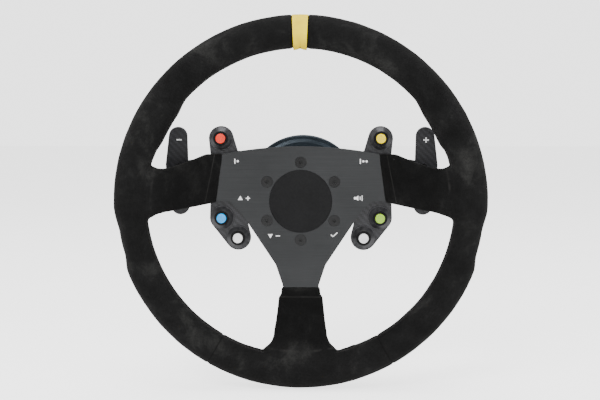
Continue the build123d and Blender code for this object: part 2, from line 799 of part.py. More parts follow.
with BuildPart() as button_springs:
    for x, up in places:
        with BuildLine() as coil:
            Helix(pitch=0.9, height=cap_back - switch_top - 0.5, radius=stem_r + 1.3,
                  center=(x, -switch_top - 0.25, up), direction=(0, -1, 0))
        with BuildSketch(Plane(origin=coil.line @ 0, z_dir=coil.line % 0)):
            Circle(0.2)
        sweep(path=coil.line, is_frenet=True)
save(button_springs.part, "button_springs")

# ---- shift levers ---------------------------------------------------------------------------------
lug_t = 3.0
block_mid = (block_low + block_high) / 2
barrel_r = 2.6
lug_in = pin_x - 3.4
lug_out = pin_x + 8.0
back_plate_back = lever_back - 2.5 - back_plate_t
plunger_x = block_out - 6
with BuildPart() as shifter_block:
    with BuildSketch(facing(block_back)):
        with Locations(((block_in + block_out) / 2, block_mid)):
            RectangleRounded(block_out - block_in, block_high - block_low, 1.5)
    extrude(amount=block_deep)
    chamfer(shifter_block.faces().sort_by(Axis.Y)[-1].edges().filter_by(Axis.Z), 1)
    with BuildSketch(facing(block_back)):
        for z in (block_low + lug_t / 2, block_high - lug_t / 2):
            with Locations(((lug_in + lug_out) / 2, z)):
                Rectangle(lug_out - lug_in, lug_t)
    extrude(amount=-(block_back - back_plate_back - back_plate_t))
    with BuildSketch(Plane.XY.offset(block_low)):
        with Locations((pin_x, -pin_station)):
            Circle(pin_r + slide_fit)
    extrude(amount=block_high - block_low, mode=Mode.SUBTRACT)
    with BuildSketch(facing(block_back)):
        with Locations((plunger_x, block_mid)):
            Rectangle(7, 14)
    extrude(amount=7, mode=Mode.SUBTRACT)
    with BuildSketch(Plane(origin=(block_out, 0, 0), x_dir=(0, 0, 1), z_dir=(1, 0, 0))):
        with Locations((block_low + 6, block_back + 13), (block_high - 6, block_back + 13)):
            Circle(1.3)
    extrude(amount=-8, mode=Mode.SUBTRACT)
    with BuildSketch(facing(back_plate_back)):
        for z in (block_low + lug_t / 2, block_high - lug_t / 2):
            with Locations((lug_out - 2, z)):
                Circle(0.8 + slide_fit)
    extrude(amount=12, mode=Mode.SUBTRACT)
save(shifter_block.part, "shifter_block_right")
shifter_block_left = mirrored(shifter_block.part, "shifter_block_left")

magnet_r = 3.0
magnet_x = lug_out + 7
with BuildPart() as lever_back_plate:
    with BuildSketch(facing(back_plate_back)):
        with Locations(((block_in + block_out) / 2, block_mid)):
            RectangleRounded(block_out - block_in, block_high - block_low, 2)
        for z in (block_low + lug_t / 2, block_high - lug_t / 2):
            with Locations((lug_out - 2, z)):
                Circle(0.8 + slide_fit, mode=Mode.SUBTRACT)
    extrude(amount=back_plate_t)
save(lever_back_plate.part, "lever_back_plate_right")
mirrored(lever_back_plate.part, "lever_back_plate_left")

with BuildPart() as stop_magnet:
    with BuildSketch(facing(back_plate_back + back_plate_t)):
        with Locations((magnet_x, block_mid)):
            Circle(magnet_r)
    extrude(amount=lever_back - face_gap - back_plate_back - back_plate_t)
    mirror(about=Plane.YZ)
save(stop_magnet.part, "stop_magnets")

with BuildPart() as lever_magnet:
    with BuildSketch(facing(lever_back)):
        with Locations((magnet_x, block_mid)):
            Circle(magnet_r)
    extrude(amount=1.5)
save(lever_magnet.part, "lever_magnet_right")
mirrored(lever_magnet.part, "lever_magnet_left")

with BuildPart() as block_screws:
    for z in (block_low + 6, block_high - 6):
        with BuildSketch(Plane(origin=(block_out, -block_back - 13, z), z_dir=(1, 0, 0))):
            Circle(2.4)
        extrude(amount=1.4)
        with BuildSketch(Plane(origin=(block_out + 1.4, -block_back - 13, z), z_dir=(1, 0, 0))):
            RegularPolygon(1.2, 6)
        extrude(amount=-0.8, mode=Mode.SUBTRACT)
        with BuildSketch(Plane(origin=(block_out, -block_back - 13, z), z_dir=(1, 0, 0))):
            Circle(1.25)
        extrude(amount=-7.5)
    for z in (block_low + lug_t / 2, block_high - lug_t / 2):
        with BuildSketch(facing(back_plate_back)):
            with Locations((lug_out - 2, z)):
                Circle(1.4)
        extrude(amount=-1)
        with BuildSketch(facing(back_plate_back)):
            with Locations((lug_out - 2, z)):
                Circle(0.8)
        extrude(amount=11)
    mirror(about=Plane.YZ)
save(block_screws.part, "block_screws")

with BuildPart() as lever_pins:
    with BuildSketch(Plane.XY.offset(block_low + 0.3)):
        with Locations((pin_x, -pin_station), (-pin_x, -pin_station)):
            Circle(pin_r)
    extrude(amount=block_high - block_low - 0.6)
save(lever_pins.part, "lever_pins")

plunger_reach = 2.5
with BuildPart() as microswitches:
    with BuildSketch(facing(block_back)):
        with Locations((plunger_x, block_mid)):
            Rectangle(7 - 0.1, 14 - 0.1)
    extrude(amount=6.9)
    with BuildSketch(facing(block_back)):
        with Locations((plunger_x, block_mid)):
            Circle(1.2)
    extrude(amount=-plunger_reach)
    mirror(about=Plane.YZ)
save(microswitches.part, "microswitches")

arm_half = (block_high - block_low) / 2 - lug_t - 0.5
tip_up = 25.0
tip_r = 9.0
with BuildPart() as paddle_arm:
    with BuildSketch(facing(lever_back)):
        with Locations((lug_out + 2, block_mid)):
            Rectangle(2, 2 * arm_half)
        with Locations((blade_x - 1, tip_up)):
            Circle(tip_r)
        make_hull()
        with Locations(((pin_x + lug_out + 2) / 2, block_mid)):
            Rectangle(lug_out + 2 - pin_x, 2 * arm_half)
    extrude(amount=lever_t)
    with BuildSketch(Plane.XY.offset(block_mid - arm_half)):
        with Locations((pin_x, -pin_station)):
            Circle(barrel_r)
    extrude(amount=2 * arm_half)
    with BuildSketch(Plane.XY.offset(block_mid - arm_half)):
        with Locations((pin_x, -pin_station)):
            Circle(pin_r + slide_fit)
    extrude(amount=2 * arm_half, mode=Mode.SUBTRACT)
    with BuildSketch(facing(lever_back)):
        with Locations((magnet_x, block_mid)):
            Circle(magnet_r)
    extrude(amount=1.5, mode=Mode.SUBTRACT)
    with BuildSketch(facing(lever_back)):
        with Locations((blade_x - 1, tip_up - 5), (blade_x - 1, tip_up + 5)):
            Circle(1.5 + slide_fit)
    extrude(amount=lever_t, mode=Mode.SUBTRACT)
save(paddle_arm.part, "paddle_arm_right")
mirrored(paddle_arm.part, "paddle_arm_left")

with BuildPart() as paddle_blade:
    with BuildSketch(facing(lever_front)):
        with Locations((blade_x, blade_top - blade_half), (blade_x - 1.5, blade_low + blade_half)):
            Circle(blade_half)
        with Locations((blade_x + 2, tip_up + 6)):
            Circle(blade_half + 1.2)
        make_hull()
        with Locations((blade_x - 1, tip_up - 5), (blade_x - 1, tip_up + 5)):
            Circle(1.5 + slide_fit, mode=Mode.SUBTRACT)
    extrude(amount=blade_t)
    chamfer(paddle_blade.faces().sort_by(Axis.Y)[0].outer_wire().edges(), 0.5)
save(paddle_blade.part, "paddle_blade_right")
mirrored(paddle_blade.part, "paddle_blade_left")

with BuildPart() as blade_screws:
    for z in (tip_up - 5, tip_up + 5):
        with BuildSketch(facing(lever_front + blade_t)):
            with Locations((blade_x - 1, z)):
                Circle(2.6)
        extrude(amount=1.5)
        with BuildSketch(facing(lever_front + blade_t + 1.5)):
            with Locations((blade_x - 1, z)):
                RegularPolygon(1.3, 6)
        extrude(amount=-0.9, mode=Mode.SUBTRACT)
        with BuildSketch(facing(lever_front + blade_t)):
            with Locations((blade_x - 1, z)):
                Circle(1.5)
        extrude(amount=-(blade_t + lever_t - 0.2))
save(blade_screws.part, "blade_screws_right")
mirrored(blade_screws.part, "blade_screws_left")

# ---- coiled lead from the wheel's gland back to a socket at the root of the hub ---------------------
socket_station = 26.0
socket_deep = 8.0
plug_len = 14.0
boot_len = 9.0
socket_end = -hub_r - socket_deep
with BuildPart() as cord_socket:
    with BuildSketch(Plane.XY.offset(socket_end)):
        with Locations((0, -socket_station)):
            RectangleRounded(15, 13, 1.5)
    extrude(amount=socket_deep + 4)
    with BuildSketch(facing(socket_station - 10)):
        Circle(hub_r)
    extrude(amount=20, mode=Mode.SUBTRACT)
save(cord_socket.part, "cord_socket")

with BuildPart() as cord_plug:
    with BuildSketch(Plane(origin=(0, -socket_station, socket_end), z_dir=(0, 0, -1))):
        Circle(plug_r)
    extrude(amount=plug_len)
    chamfer(cord_plug.faces().sort_by(Axis.Z)[0].edges(), 1)
    with BuildSketch(Plane(origin=(0, -socket_station, socket_end - 3), z_dir=(0, 0, -1))):
        with PolarLocations(plug_r + 0.3, 12):
            Circle(0.7)
    extrude(amount=plug_len - 6, mode=Mode.SUBTRACT)
    with Locations(Plane(origin=(0, -socket_station, socket_end - plug_len), z_dir=(0, 0, -1))):
        Cone(bottom_radius=plug_r - 2, top_radius=cord_r + 0.7, height=boot_len,
             align=(Align.CENTER, Align.CENTER, Align.MIN))
save(cord_plug.part, "cord_plug")

# corners of the lead's route as (station, height); its coil starts and ends on straight stretches
cord_points = (
    (94.0, -53.0), (94.0, -71.0), (87.5, -89.5), (75.0, -104.0), (57.5, -111.5), (40.0, -108.5),
    (28.5, -94.5), (26.0, -78.0), (26.0, -63.0),
)
straight_end = 9.0       # from the first corner to the coil, and from the last coiled corner on


def bend_radii(points):
    """As large an arc at each corner as its two runs allow."""
    radii = []
    for a, b, c in zip(points, points[1:], points[2:]):
        before = Vector(b[0] - a[0], b[1] - a[1])
        after = Vector(c[0] - b[0], c[1] - b[1])
        half_turn = math.radians(before.get_angle(after)) / 2
        radii.append(0.45 * min(before.length, after.length) / math.tan(half_turn))
    return radii


def along(a, b, distance):
    """The point a given distance from a towards b."""
    step = Vector(b[0] - a[0], b[1] - a[1]).normalized() * distance
    return (a[0] + step.X, a[1] + step.Y)


def lead(points, radii, radius):
    """A round tube along straight runs joined by tangent arcs."""
    with BuildPart() as tube:
        with BuildLine(UPRIGHT) as way:
            if radii:
                FilletPolyline(*points, radius=radii)
            else:
                Line(*points)
        with BuildSketch(Plane(origin=way.line @ 0, z_dir=way.line % 0)):
            Circle(radius)
        sweep(path=way.line)
    length = sum(edge.length for edge in way.edges())
    fill = tube.part.volume / (math.pi * radius ** 2 * length)
    print("arcs", [round(r, 1) for r in radii], "length", round(length, 2), round(fill, 4))
    return tube.part


arcs = bend_radii(cord_points)
coil_start = along(cord_points[0], cord_points[1], straight_end)
coil_stop = along(cord_points[-3], cord_points[-2], straight_end)
save(lead([cord_points[0], coil_start], [], cord_r), "cord_lead_wheel")
save(lead([coil_start, *cord_points[1:-2], coil_stop], arcs[:-1], coil_r), "cord_coil")
save(lead([coil_stop, *cord_points[-2:]], arcs[-1:], cord_r), "cord_lead_hub")
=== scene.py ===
import math

import bmesh
import bpy
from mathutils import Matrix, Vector, noise


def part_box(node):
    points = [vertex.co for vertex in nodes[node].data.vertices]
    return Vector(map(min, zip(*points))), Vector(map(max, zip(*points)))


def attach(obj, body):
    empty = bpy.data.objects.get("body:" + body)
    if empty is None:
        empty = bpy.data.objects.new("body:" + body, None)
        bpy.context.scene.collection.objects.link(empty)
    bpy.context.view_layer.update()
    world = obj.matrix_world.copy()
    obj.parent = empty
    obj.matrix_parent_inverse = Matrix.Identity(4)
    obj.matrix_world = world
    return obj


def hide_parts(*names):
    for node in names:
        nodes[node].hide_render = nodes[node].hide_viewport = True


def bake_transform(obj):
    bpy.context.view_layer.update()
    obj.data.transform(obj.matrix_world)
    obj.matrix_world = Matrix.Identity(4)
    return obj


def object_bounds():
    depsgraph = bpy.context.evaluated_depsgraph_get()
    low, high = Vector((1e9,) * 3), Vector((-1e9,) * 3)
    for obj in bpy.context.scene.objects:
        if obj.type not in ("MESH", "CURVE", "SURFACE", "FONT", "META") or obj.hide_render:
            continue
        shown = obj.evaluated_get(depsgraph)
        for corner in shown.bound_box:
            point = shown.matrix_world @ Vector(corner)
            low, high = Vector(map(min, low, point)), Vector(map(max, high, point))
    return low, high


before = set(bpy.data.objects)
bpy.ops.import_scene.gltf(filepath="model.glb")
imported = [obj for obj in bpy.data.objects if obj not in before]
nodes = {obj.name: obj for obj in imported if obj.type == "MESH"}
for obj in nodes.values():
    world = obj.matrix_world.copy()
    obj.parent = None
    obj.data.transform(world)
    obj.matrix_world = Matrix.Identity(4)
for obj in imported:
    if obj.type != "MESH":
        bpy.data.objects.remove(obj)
cad_low, cad_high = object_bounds()
MM = 0.001


# ---- sizes read from the frame -------------------------------------------------------------------
core_low, core_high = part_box("rim_core")
core_r = (core_high.y - core_low.y) / 2
rim_y = (core_high.y + core_low.y) / 2
rim_r = core_high.z - core_r
cover_low, cover_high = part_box("rim_cover")
grip_deep = (cover_high.y - cover_low.y) / 2
grip_half = 14.75 * MM
CAP_SUNK = 0.8 * MM                # the centre cap's edge sits this far into the plate
PLATE_HALF = 2 * MM
plate_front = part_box("centre_cap")[1].y - CAP_SUNK
plate_mid = plate_front + PLATE_HALF
blade_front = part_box("paddle_blade_right")[0].y
band_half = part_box("centre_marker")[1].x

# where the suede wraps fold up off the plate, and where the spokes have risen to the grip
FOLD_OUT = 80 * MM
FOLD_DOWN = 84 * MM
RISE_END = 136 * MM
FOLD_LEAN = math.radians(-9)
PANEL_JOIN = math.radians(59.8)    # where two panels of the suede meet, below the level of the axis


# ---- camera --------------------------------------------------------------------------------------
def make_camera():
    """Nearly square on, a little above the axis and a little to the right."""
    aim = Vector((-0.6 * MM, plate_front, 1.2 * MM))
    distance = 1.0
    turn = math.radians(1.2)
    lift = math.radians(4.8)
    back = Vector((math.sin(turn) * math.cos(lift), -math.cos(turn) * math.cos(lift), math.sin(lift)))
    bpy.ops.object.camera_add(location=aim + back * distance)
    camera = bpy.context.object
    camera.name = "view_camera"
    camera.rotation_euler = (-back).to_track_quat("-Z", "Y").to_euler()
    camera.data.lens = 66.6
    camera.data.sensor_width = 36
    bpy.context.scene.camera = camera


make_camera()


# ---- modelling helpers ---------------------------------------------------------------------------
def eased(value, low, high):
    share = min(max((value - low) / (high - low), 0), 1)
    return share * share * (3 - 2 * share)


def start():
    """Object mode with nothing selected, before a new primitive."""
    if bpy.context.object and bpy.context.object.mode != "OBJECT":
        bpy.ops.object.mode_set(mode="OBJECT")
    bpy.ops.object.select_all(action="DESELECT")


def only(piece):
    start()
    piece.select_set(True)
    bpy.context.view_layer.objects.active = piece


def settle(piece):
    """The object goes to the origin and its place goes into its mesh."""
    only(piece)
    bpy.ops.object.transform_apply(location=True, rotation=True, scale=True)


def edit(piece):
    only(piece)
    bpy.ops.object.mode_set(mode="EDIT")
    return bmesh.from_edit_mesh(piece.data)


def leave(piece):
    bmesh.update_edit_mesh(piece.data)
    bpy.ops.object.mode_set(mode="OBJECT")


def covered(piece, material):
    """One finish all over the piece."""
    piece.data.materials.clear()
    piece.data.materials.append(material)


def named(piece, name, body, material):
    """A finished piece gets its name, its finish and the body that carries it."""
    piece.name = name
    piece.data.name = name
    covered(piece, material)
    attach(piece, body)


def finish_with(piece, kind, **settings):
    """Adds one modifier and applies it."""
    only(piece)
    modifier = piece.modifiers.new(kind.lower(), kind)
    for key, value in settings.items():
        setattr(modifier, key, value)
    bpy.ops.object.modifier_apply(modifier=modifier.name)


def joined(first, *others):
    start()
    for piece in (first, *others):
        piece.select_set(True)
    bpy.context.view_layer.objects.active = first
    bpy.ops.object.join()
    return first


def copied(piece):
    twin = piece.copy()
    twin.data = piece.data.copy()
    bpy.context.collection.objects.link(twin)
    return twin


def mirrored(piece):
    """A copy on the other hand, its faces turned outwards again."""
    twin = copied(piece)
    only(twin)
    twin.scale = (-1, 1, 1)
    settle(twin)
    edit(twin)
    bpy.ops.mesh.select_all(action="SELECT")
    bpy.ops.mesh.normals_make_consistent(inside=False)
    leave(twin)
    return twin


def drawn_bar(first, runs):
    """A bar drawn out face by face, then closed.

    first is (centre, height along z, width along y); each run is (step, height, width, turn), the
    step taking the leading face to its next place and the turn being about the wheel's axis.
    """
    centre, high, deep = first
    start()
    bpy.ops.mesh.primitive_plane_add(size=1, location=centre, rotation=(0, math.pi / 2, 0))
    bar = bpy.context.object
    settle(bar)
    edit(bar)
    bpy.ops.mesh.select_all(action="SELECT")
    bpy.ops.transform.resize(value=(1, deep, high), center_override=centre)
    place = Vector(centre)
    for step, next_high, next_deep, turn in runs:
        place = place + Vector(step)
        bpy.ops.mesh.extrude_region_move(TRANSFORM_OT_translate={"value": step})
        bpy.ops.transform.resize(value=(1, next_deep / deep, next_high / high), center_override=place)
        if turn:
            bpy.ops.transform.rotate(value=turn, orient_axis="Y", center_override=place)
        high, deep = next_high, next_deep
    bpy.ops.mesh.select_all(action="SELECT")
    bpy.ops.mesh.normals_make_consistent(inside=False)
    bpy.ops.object.mode_set(mode="OBJECT")
    return bar


# ---- materials -----------------------------------------------------------------------------------
def srgb(r, g, b):
    """Linear colour from eight-bit display values."""
    def one(c):
        c /= 255
        return c / 12.92 if c <= 0.04045 else ((c + 0.055) / 1.055) ** 2.4
    return (one(r), one(g), one(b), 1)


class Finish:
    """A material under construction: a shader with helpers for the nodes in front of it."""

    def __init__(self, name, colour, rough=0.5, metal=0.0, **sockets):
        self.material = bpy.data.materials.new(name)
        self.material.use_nodes = True
        self.tree = self.material.node_tree
        self.shader = self.tree.nodes["Principled BSDF"]
        self.set("Base Color", colour)
        self.set("Roughness", rough)
        self.set("Metallic", metal)
        for key, value in sockets.items():
            self.set(key.replace("_", " "), value)
        self.material.diffuse_color = colour
        self.space = self.node("ShaderNodeTexCoord").outputs["Object"]

    def set(self, socket, value):
        self.shader.inputs[socket].default_value = value

    def node(self, kind, **settings):
        made = self.tree.nodes.new(kind)
        for key, value in settings.items():
            setattr(made, key, value)
        return made

    def link(self, source, target):
        self.tree.links.new(source, target)

    def into(self, source, socket):
        self.link(source, self.shader.inputs[socket])

    def stretched(self, scale):
        """Object coordinates at another scale along each axis."""
        mapping = self.node("ShaderNodeMapping")
        self.link(self.space, mapping.inputs["Vector"])
        mapping.inputs["Scale"].default_value = scale
        return mapping.outputs["Vector"]

    def noise(self, scale, detail=3, rough=0.55, vector=None, distortion=0.0):
        texture = self.node("ShaderNodeTexNoise")
        self.link(vector or self.space, texture.inputs["Vector"])
        texture.inputs["Scale"].default_value = scale
        texture.inputs["Detail"].default_value = detail
        texture.inputs["Roughness"].default_value = rough
        texture.inputs["Distortion"].default_value = distortion
        return texture.outputs["Fac"]

    def ramp(self, factor, *stops):
        """Colour or grey along stops of (position, colour)."""
        ramp = self.node("ShaderNodeValToRGB")
        self.link(factor, ramp.inputs["Fac"])
        elements = ramp.color_ramp.elements
        while len(elements) < len(stops):
            elements.new(0.5)
        for element, (position, colour) in zip(elements, stops):
            element.position = position
            element.color = colour if hasattr(colour, "__len__") else (colour, colour, colour, 1)
        return ramp.outputs["Color"]

    def math(self, operation, a, b=None):
        node = self.node("ShaderNodeMath", operation=operation)
        for socket, value in zip(node.inputs, (a, b)):
            if value is None:
                continue
            if isinstance(value, (int, float)):
                socket.default_value = value
            else:
                self.link(value, socket)
        return node.outputs[0]

    def mixed(self, factor, a, b, blend="MIX"):
        node = self.node("ShaderNodeMix", data_type="RGBA", blend_type=blend)
        for socket, value in ((node.inputs[0], factor), (node.inputs[6], a), (node.inputs[7], b)):
            if isinstance(value, (int, float)) or isinstance(value, tuple):
                socket.default_value = value
            else:
                self.link(value, socket)
        return node.outputs[2]

    def axis(self, name, vector=None):
        split = self.node("ShaderNodeSeparateXYZ")
        self.link(vector or self.space, split.inputs[0])
        return split.outputs[name]

    def bump(self, height, strength, distance, under=None):
        node = self.node("ShaderNodeBump")
        self.link(height, node.inputs["Height"])
        node.inputs["Strength"].default_value = strength
        node.inputs["Distance"].default_value = distance
        if under:
            self.link(under, node.inputs["Normal"])
        return node.outputs["Normal"]


GRIP_INSIDE = 0.1315       # radius at which the spokes meet the grip, metres
SPOKE_END = 0.118          # radius up to which the folds of the wraps show
SIDE_FOLD = 0.0855         # where a side wrap's fold crosses the level of the axis
SIDE_FOLD_SLOPE = 0.194    # how far that fold leans in for each metre up
LOW_FOLD = 0.0865          # how far down the lower wrap's fold is
CREASE_HIGHLIGHT_SHARPNESS = 700.0      # one over the width of the painted highlight along the grip's inner crease, per metre
FOLD_SHARPNESS = 1600.0
JOIN_HALF_ANGLE = 0.0042   # half the width of a panel join, radians


def line_along(f, distance, sharpness):
    """One on a line, falling to nothing away from it."""
    return f.math("SUBTRACT", 1.0, f.math("MINIMUM", f.math("MULTIPLY", distance, sharpness), 1.0))


def suede():
    """Brushed black suede: short nap, paler rubbed patches, soft rim light, painted shade darkening
    the spokes, painted highlights along the grip's inner crease and the folds.
    """
    f = Finish("black_suede", srgb(24, 23, 23), 0.97, Sheen_Weight=0.1, Sheen_Roughness=0.5,
               Specular_IOR_Level=0.12)
    f.set("Sheen Tint", srgb(150, 148, 146))
    patches = f.noise(30, 5, 0.66, distortion=0.35)
    rubbed = f.ramp(
        patches, (0.34, srgb(12, 12, 12)), (0.54, srgb(20, 20, 20)), (0.74, srgb(41, 41, 40)))
    nap = f.noise(1500, 3, 0.7)
    strokes = f.noise(300, 4, 0.7, distortion=1.4)
    flecks = f.ramp(f.math("ADD", f.math("MULTIPLY", nap, 0.55), f.math("MULTIPLY", strokes, 0.45)),
                    (0.36, 0.62), (0.66, 1.5))
    x, z = f.axis("X"), f.axis("Z")
    out = f.math("SQRT", f.math("ADD", f.math("MULTIPLY", x, x), f.math("MULTIPLY", z, z)))
    # painted shade: the suede darkens inwards from the grip, so the spokes below it look shaded
    spoke_painted_shade = f.ramp(f.math("MULTIPLY", out, 5.0), (0.610, 0.55), (0.660, 0.95), (0.672, 1.0))
    # painted highlights: paler lines along the inner crease of the grip and along the folds of the
    # wraps, broken up by noise
    crease = line_along(f, f.math("ABSOLUTE", f.math("SUBTRACT", out, GRIP_INSIDE)), CREASE_HIGHLIGHT_SHARPNESS)
    crease_highlight_breaks = f.ramp(f.noise(90, 3), (0.45, 0.0), (0.65, 1.0))
    painted_line_highlights = f.math("MULTIPLY", f.math("MULTIPLY", crease, 0.5), crease_highlight_breaks)
    fold_at = f.math("SUBTRACT", SIDE_FOLD, f.math("MULTIPLY", z, SIDE_FOLD_SLOPE))
    side_fold = f.math("ABSOLUTE", f.math("SUBTRACT", f.math("ABSOLUTE", x), fold_at))
    low_fold = f.math("ABSOLUTE", f.math("ADD", z, LOW_FOLD))
    fold = line_along(f, f.math("MINIMUM", side_fold, low_fold), FOLD_SHARPNESS)
    fold = f.math("MULTIPLY", f.math("MULTIPLY", fold, 0.6), f.math("LESS_THAN", out, SPOKE_END))
    fold_highlight_breaks = f.ramp(f.noise(60, 3), (0.35, 0.4), (0.6, 1.0))
    painted_line_highlights = f.math("MAXIMUM", painted_line_highlights, f.math("MULTIPLY", fold, fold_highlight_breaks))
    shaded = f.mixed(1.0, f.mixed(1.0, rubbed, flecks, "MULTIPLY"), spoke_painted_shade, "MULTIPLY")
    turn = f.math("ARCTAN2", z, f.math("ABSOLUTE", x))
    from_join = f.math("ABSOLUTE", f.math("ADD", turn, PANEL_JOIN))
    join = f.math("LESS_THAN", from_join, JOIN_HALF_ANGLE)
    # the painted highlight lines go into the suede's colour here
    with_painted_highlights = f.mixed(painted_line_highlights, shaded, srgb(50, 49, 48))
    f.into(f.mixed(f.math("MULTIPLY", join, 0.55), with_painted_highlights, srgb(6, 6, 6)), "Base Color")
    low = f.bump(strokes, 0.4, 0.0006)
    f.into(f.bump(nap, 0.6, 0.00025, low), "Normal")
    return f.material


def brushed_plate():
    """Dark grey anodised aluminium, brushed from side to side."""
    f = Finish("brushed_dark_aluminium", srgb(55, 56, 57), 0.46, 0.6, Specular_IOR_Level=0.4)
    lines = f.noise(1, 5, 0.8, f.stretched((30, 300, 5200)))
    coarse = f.noise(1, 3, 0.6, f.stretched((12, 60, 1100)))
    haze = f.noise(16, 3, 0.5)
    both = f.math("ADD", f.math("MULTIPLY", lines, 0.75), f.math("MULTIPLY", coarse, 0.25))
    brushed = f.ramp(both, (0.3, srgb(44, 45, 46)), (0.52, srgb(53, 54, 55)), (0.74, srgb(65, 66, 67)))
    f.into(f.mixed(1.0, brushed, f.ramp(haze, (0.3, 0.86), (0.7, 1.12)), "MULTIPLY"), "Base Color")
    f.into(f.ramp(both, (0.3, 0.4), (0.7, 0.52)), "Roughness")
    f.into(f.bump(both, 0.1, 0.00006), "Normal")
    return f.material


def turned_metal(name, colour, rough, metal=1.0, ring=2200, contrast=0.12):
    """Metal from a lathe about the wheel's axis: fine rings, and a little handling haze."""
    f = Finish(name, colour, rough, metal)
    x, y, z = f.axis("X"), f.axis("Y"), f.axis("Z")
    out = f.math("SQRT", f.math("ADD", f.math("MULTIPLY", x, x), f.math("MULTIPLY", z, z)))
    place = f.node("ShaderNodeCombineXYZ")
    f.link(f.math("MULTIPLY", out, ring), place.inputs[0])
    f.link(f.math("MULTIPLY", y, ring), place.inputs[1])
    rings = f.noise(1, 2, 0.6, place.outputs[0])
    haze = f.noise(90, 4, 0.6)
    tone = f.math("ADD", f.math("MULTIPLY", rings, 0.5), f.math("MULTIPLY", haze, 0.5))
    dark = tuple(c * (1 - contrast * 2) for c in colour[:3]) + (1,)
    light = tuple(min(1, c * (1 + contrast * 2)) for c in colour[:3]) + (1,)
    f.into(f.ramp(tone, (0.35, dark), (0.65, light)), "Base Color")
    f.into(f.ramp(haze, (0.3, max(0.05, rough - 0.08)), (0.7, rough + 0.1)), "Roughness")
    f.into(f.bump(rings, 0.08, 0.00005), "Normal")
    return f.material


def satin_bezel():
    """Satin cone with a black lip round the button's mouth."""
    f = Finish("satin_bezel", srgb(84, 84, 86), 0.36, 0.7)
    haze = f.noise(240, 4, 0.6)
    cone = f.ramp(haze, (0.3, srgb(56, 56, 58)), (0.7, srgb(84, 84, 86)))
    lip = f.math("LESS_THAN", f.axis("Y"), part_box("button_bezels")[0].y + 0.25 * MM)
    f.into(f.mixed(lip, cone, srgb(14, 14, 15)), "Base Color")
    f.into(f.ramp(haze, (0.3, 0.3), (0.7, 0.46)), "Roughness")
    f.into(f.bump(f.noise(1200, 2), 0.06, 0.00005), "Normal")
    return f.material


def moulded(name, colour, rough=0.55, grain=900, depth=0.12):
    """Moulded plastic or rubber: fine spark-eroded grain."""
    f = Finish(name, colour, rough)
    specks = f.noise(grain, 2, 0.6)
    cloud = f.noise(40, 3, 0.5)
    dark = tuple(c * 0.8 for c in colour[:3]) + (1,)
    light = tuple(min(1, c * 1.25) for c in colour[:3]) + (1,)
    f.into(f.ramp(cloud, (0.3, dark), (0.7, light)), "Base Color")
    f.into(f.ramp(specks, (0.3, max(0, rough - 0.08)), (0.7, min(1, rough + 0.1))), "Roughness")
    f.into(f.bump(specks, depth, 0.0001), "Normal")
    return f.material


def carbon_twill():
    """Two-by-two twill under a satin clear coat."""
    f = Finish("carbon_twill", srgb(34, 34, 36), 0.42, 0.2, Coat_Weight=0.25, Coat_Roughness=0.25)
    tow = 1.5 * MM
    place = f.stretched((1 / tow, 1 / tow, 1 / tow))
    x, z = f.axis("X", place), f.axis("Z", place)
    step = f.math("ADD", f.math("FLOOR", x), f.math("FLOOR", z))
    warp = f.math("LESS_THAN", f.math("FLOORED_MODULO", step, 4.0), 2.0)
    fibres_a = f.noise(1, 2, 0.6, f.stretched((3200, 400, 300)))
    fibres_b = f.noise(1, 2, 0.6, f.stretched((300, 400, 3200)))
    shade_a = f.ramp(fibres_a, (0.3, srgb(18, 18, 20)), (0.7, srgb(30, 30, 33)))
    shade_b = f.ramp(fibres_b, (0.3, srgb(28, 28, 31)), (0.7, srgb(48, 48, 52)))
    f.into(f.mixed(warp, shade_a, shade_b), "Base Color")
    round_x = f.math("ABSOLUTE", f.math("SUBTRACT", f.math("FRACT", x), 0.5))
    round_z = f.math("ABSOLUTE", f.math("SUBTRACT", f.math("FRACT", z), 0.5))
    f.into(f.bump(f.math("ADD", round_x, round_z), 0.08, -0.00015), "Normal")
    return f.material


def gloss_cap(name, colour):
    """Injection-moulded cap with a slight polish and fine scuffs."""
    f = Finish(name, colour, 0.28, Coat_Weight=0.25, Coat_Roughness=0.15)
    scuffs = f.noise(500, 4, 0.7)
    light = tuple(min(1, c * 1.08) for c in colour[:3]) + (1,)
    dark = tuple(c * 0.9 for c in colour[:3]) + (1,)
    f.into(f.ramp(f.noise(120, 3, 0.6), (0.35, dark), (0.65, light)), "Base Color")
    f.into(f.ramp(scuffs, (0.4, 0.22), (0.7, 0.36)), "Roughness")
    return f.material


def printed(name, colour):
    """Screen-printed ink with pinholes."""
    f = Finish(name, colour, 0.5)
    ink = f.noise(2500, 2, 0.5)
    dark = tuple(c * 0.85 for c in colour[:3]) + (1,)
    f.into(f.ramp(ink, (0.3, dark), (0.5, colour)), "Base Color")
    f.into(f.bump(ink, 0.1, 0.00005), "Normal")
    return f.material


SUEDE = suede()
PLATE = brushed_plate()
CARBON = carbon_twill()
THREAD = moulded("black_thread", srgb(22, 20, 20), 0.8, 2200, 0.3)
TAPE = moulded("yellow_band", srgb(240, 205, 0), 0.75, 1100, 0.1)
INK = printed("white_ink", srgb(240, 240, 240))
DARK_ANODISED = turned_metal("dark_anodised", srgb(40, 50, 58), 0.42, 0.55)
BODY_ANODISED = turned_metal("satin_dark_anodised", srgb(66, 71, 75), 0.36, 0.85)
BLACK_ANODISED = turned_metal("black_anodised", srgb(34, 34, 36), 0.38, 0.7)
GOLD = turned_metal("gold_anodised", srgb(242, 205, 116), 0.22, 1.0, 1800, 0.06)
BRONZE = turned_metal("dark_bronze", srgb(92, 66, 40), 0.3, 1.0)
STEEL = turned_metal("machined_steel", srgb(160, 160, 162), 0.26, 1.0)
BRIGHT = turned_metal("zinc_plated", srgb(190, 186, 176), 0.24, 1.0)
BEZEL = satin_bezel()
BLACK_OXIDE = turned_metal("black_oxide_steel", srgb(9, 9, 10), 0.3, 0.15)
MOULDED = moulded("black_moulding", srgb(26, 26, 28))
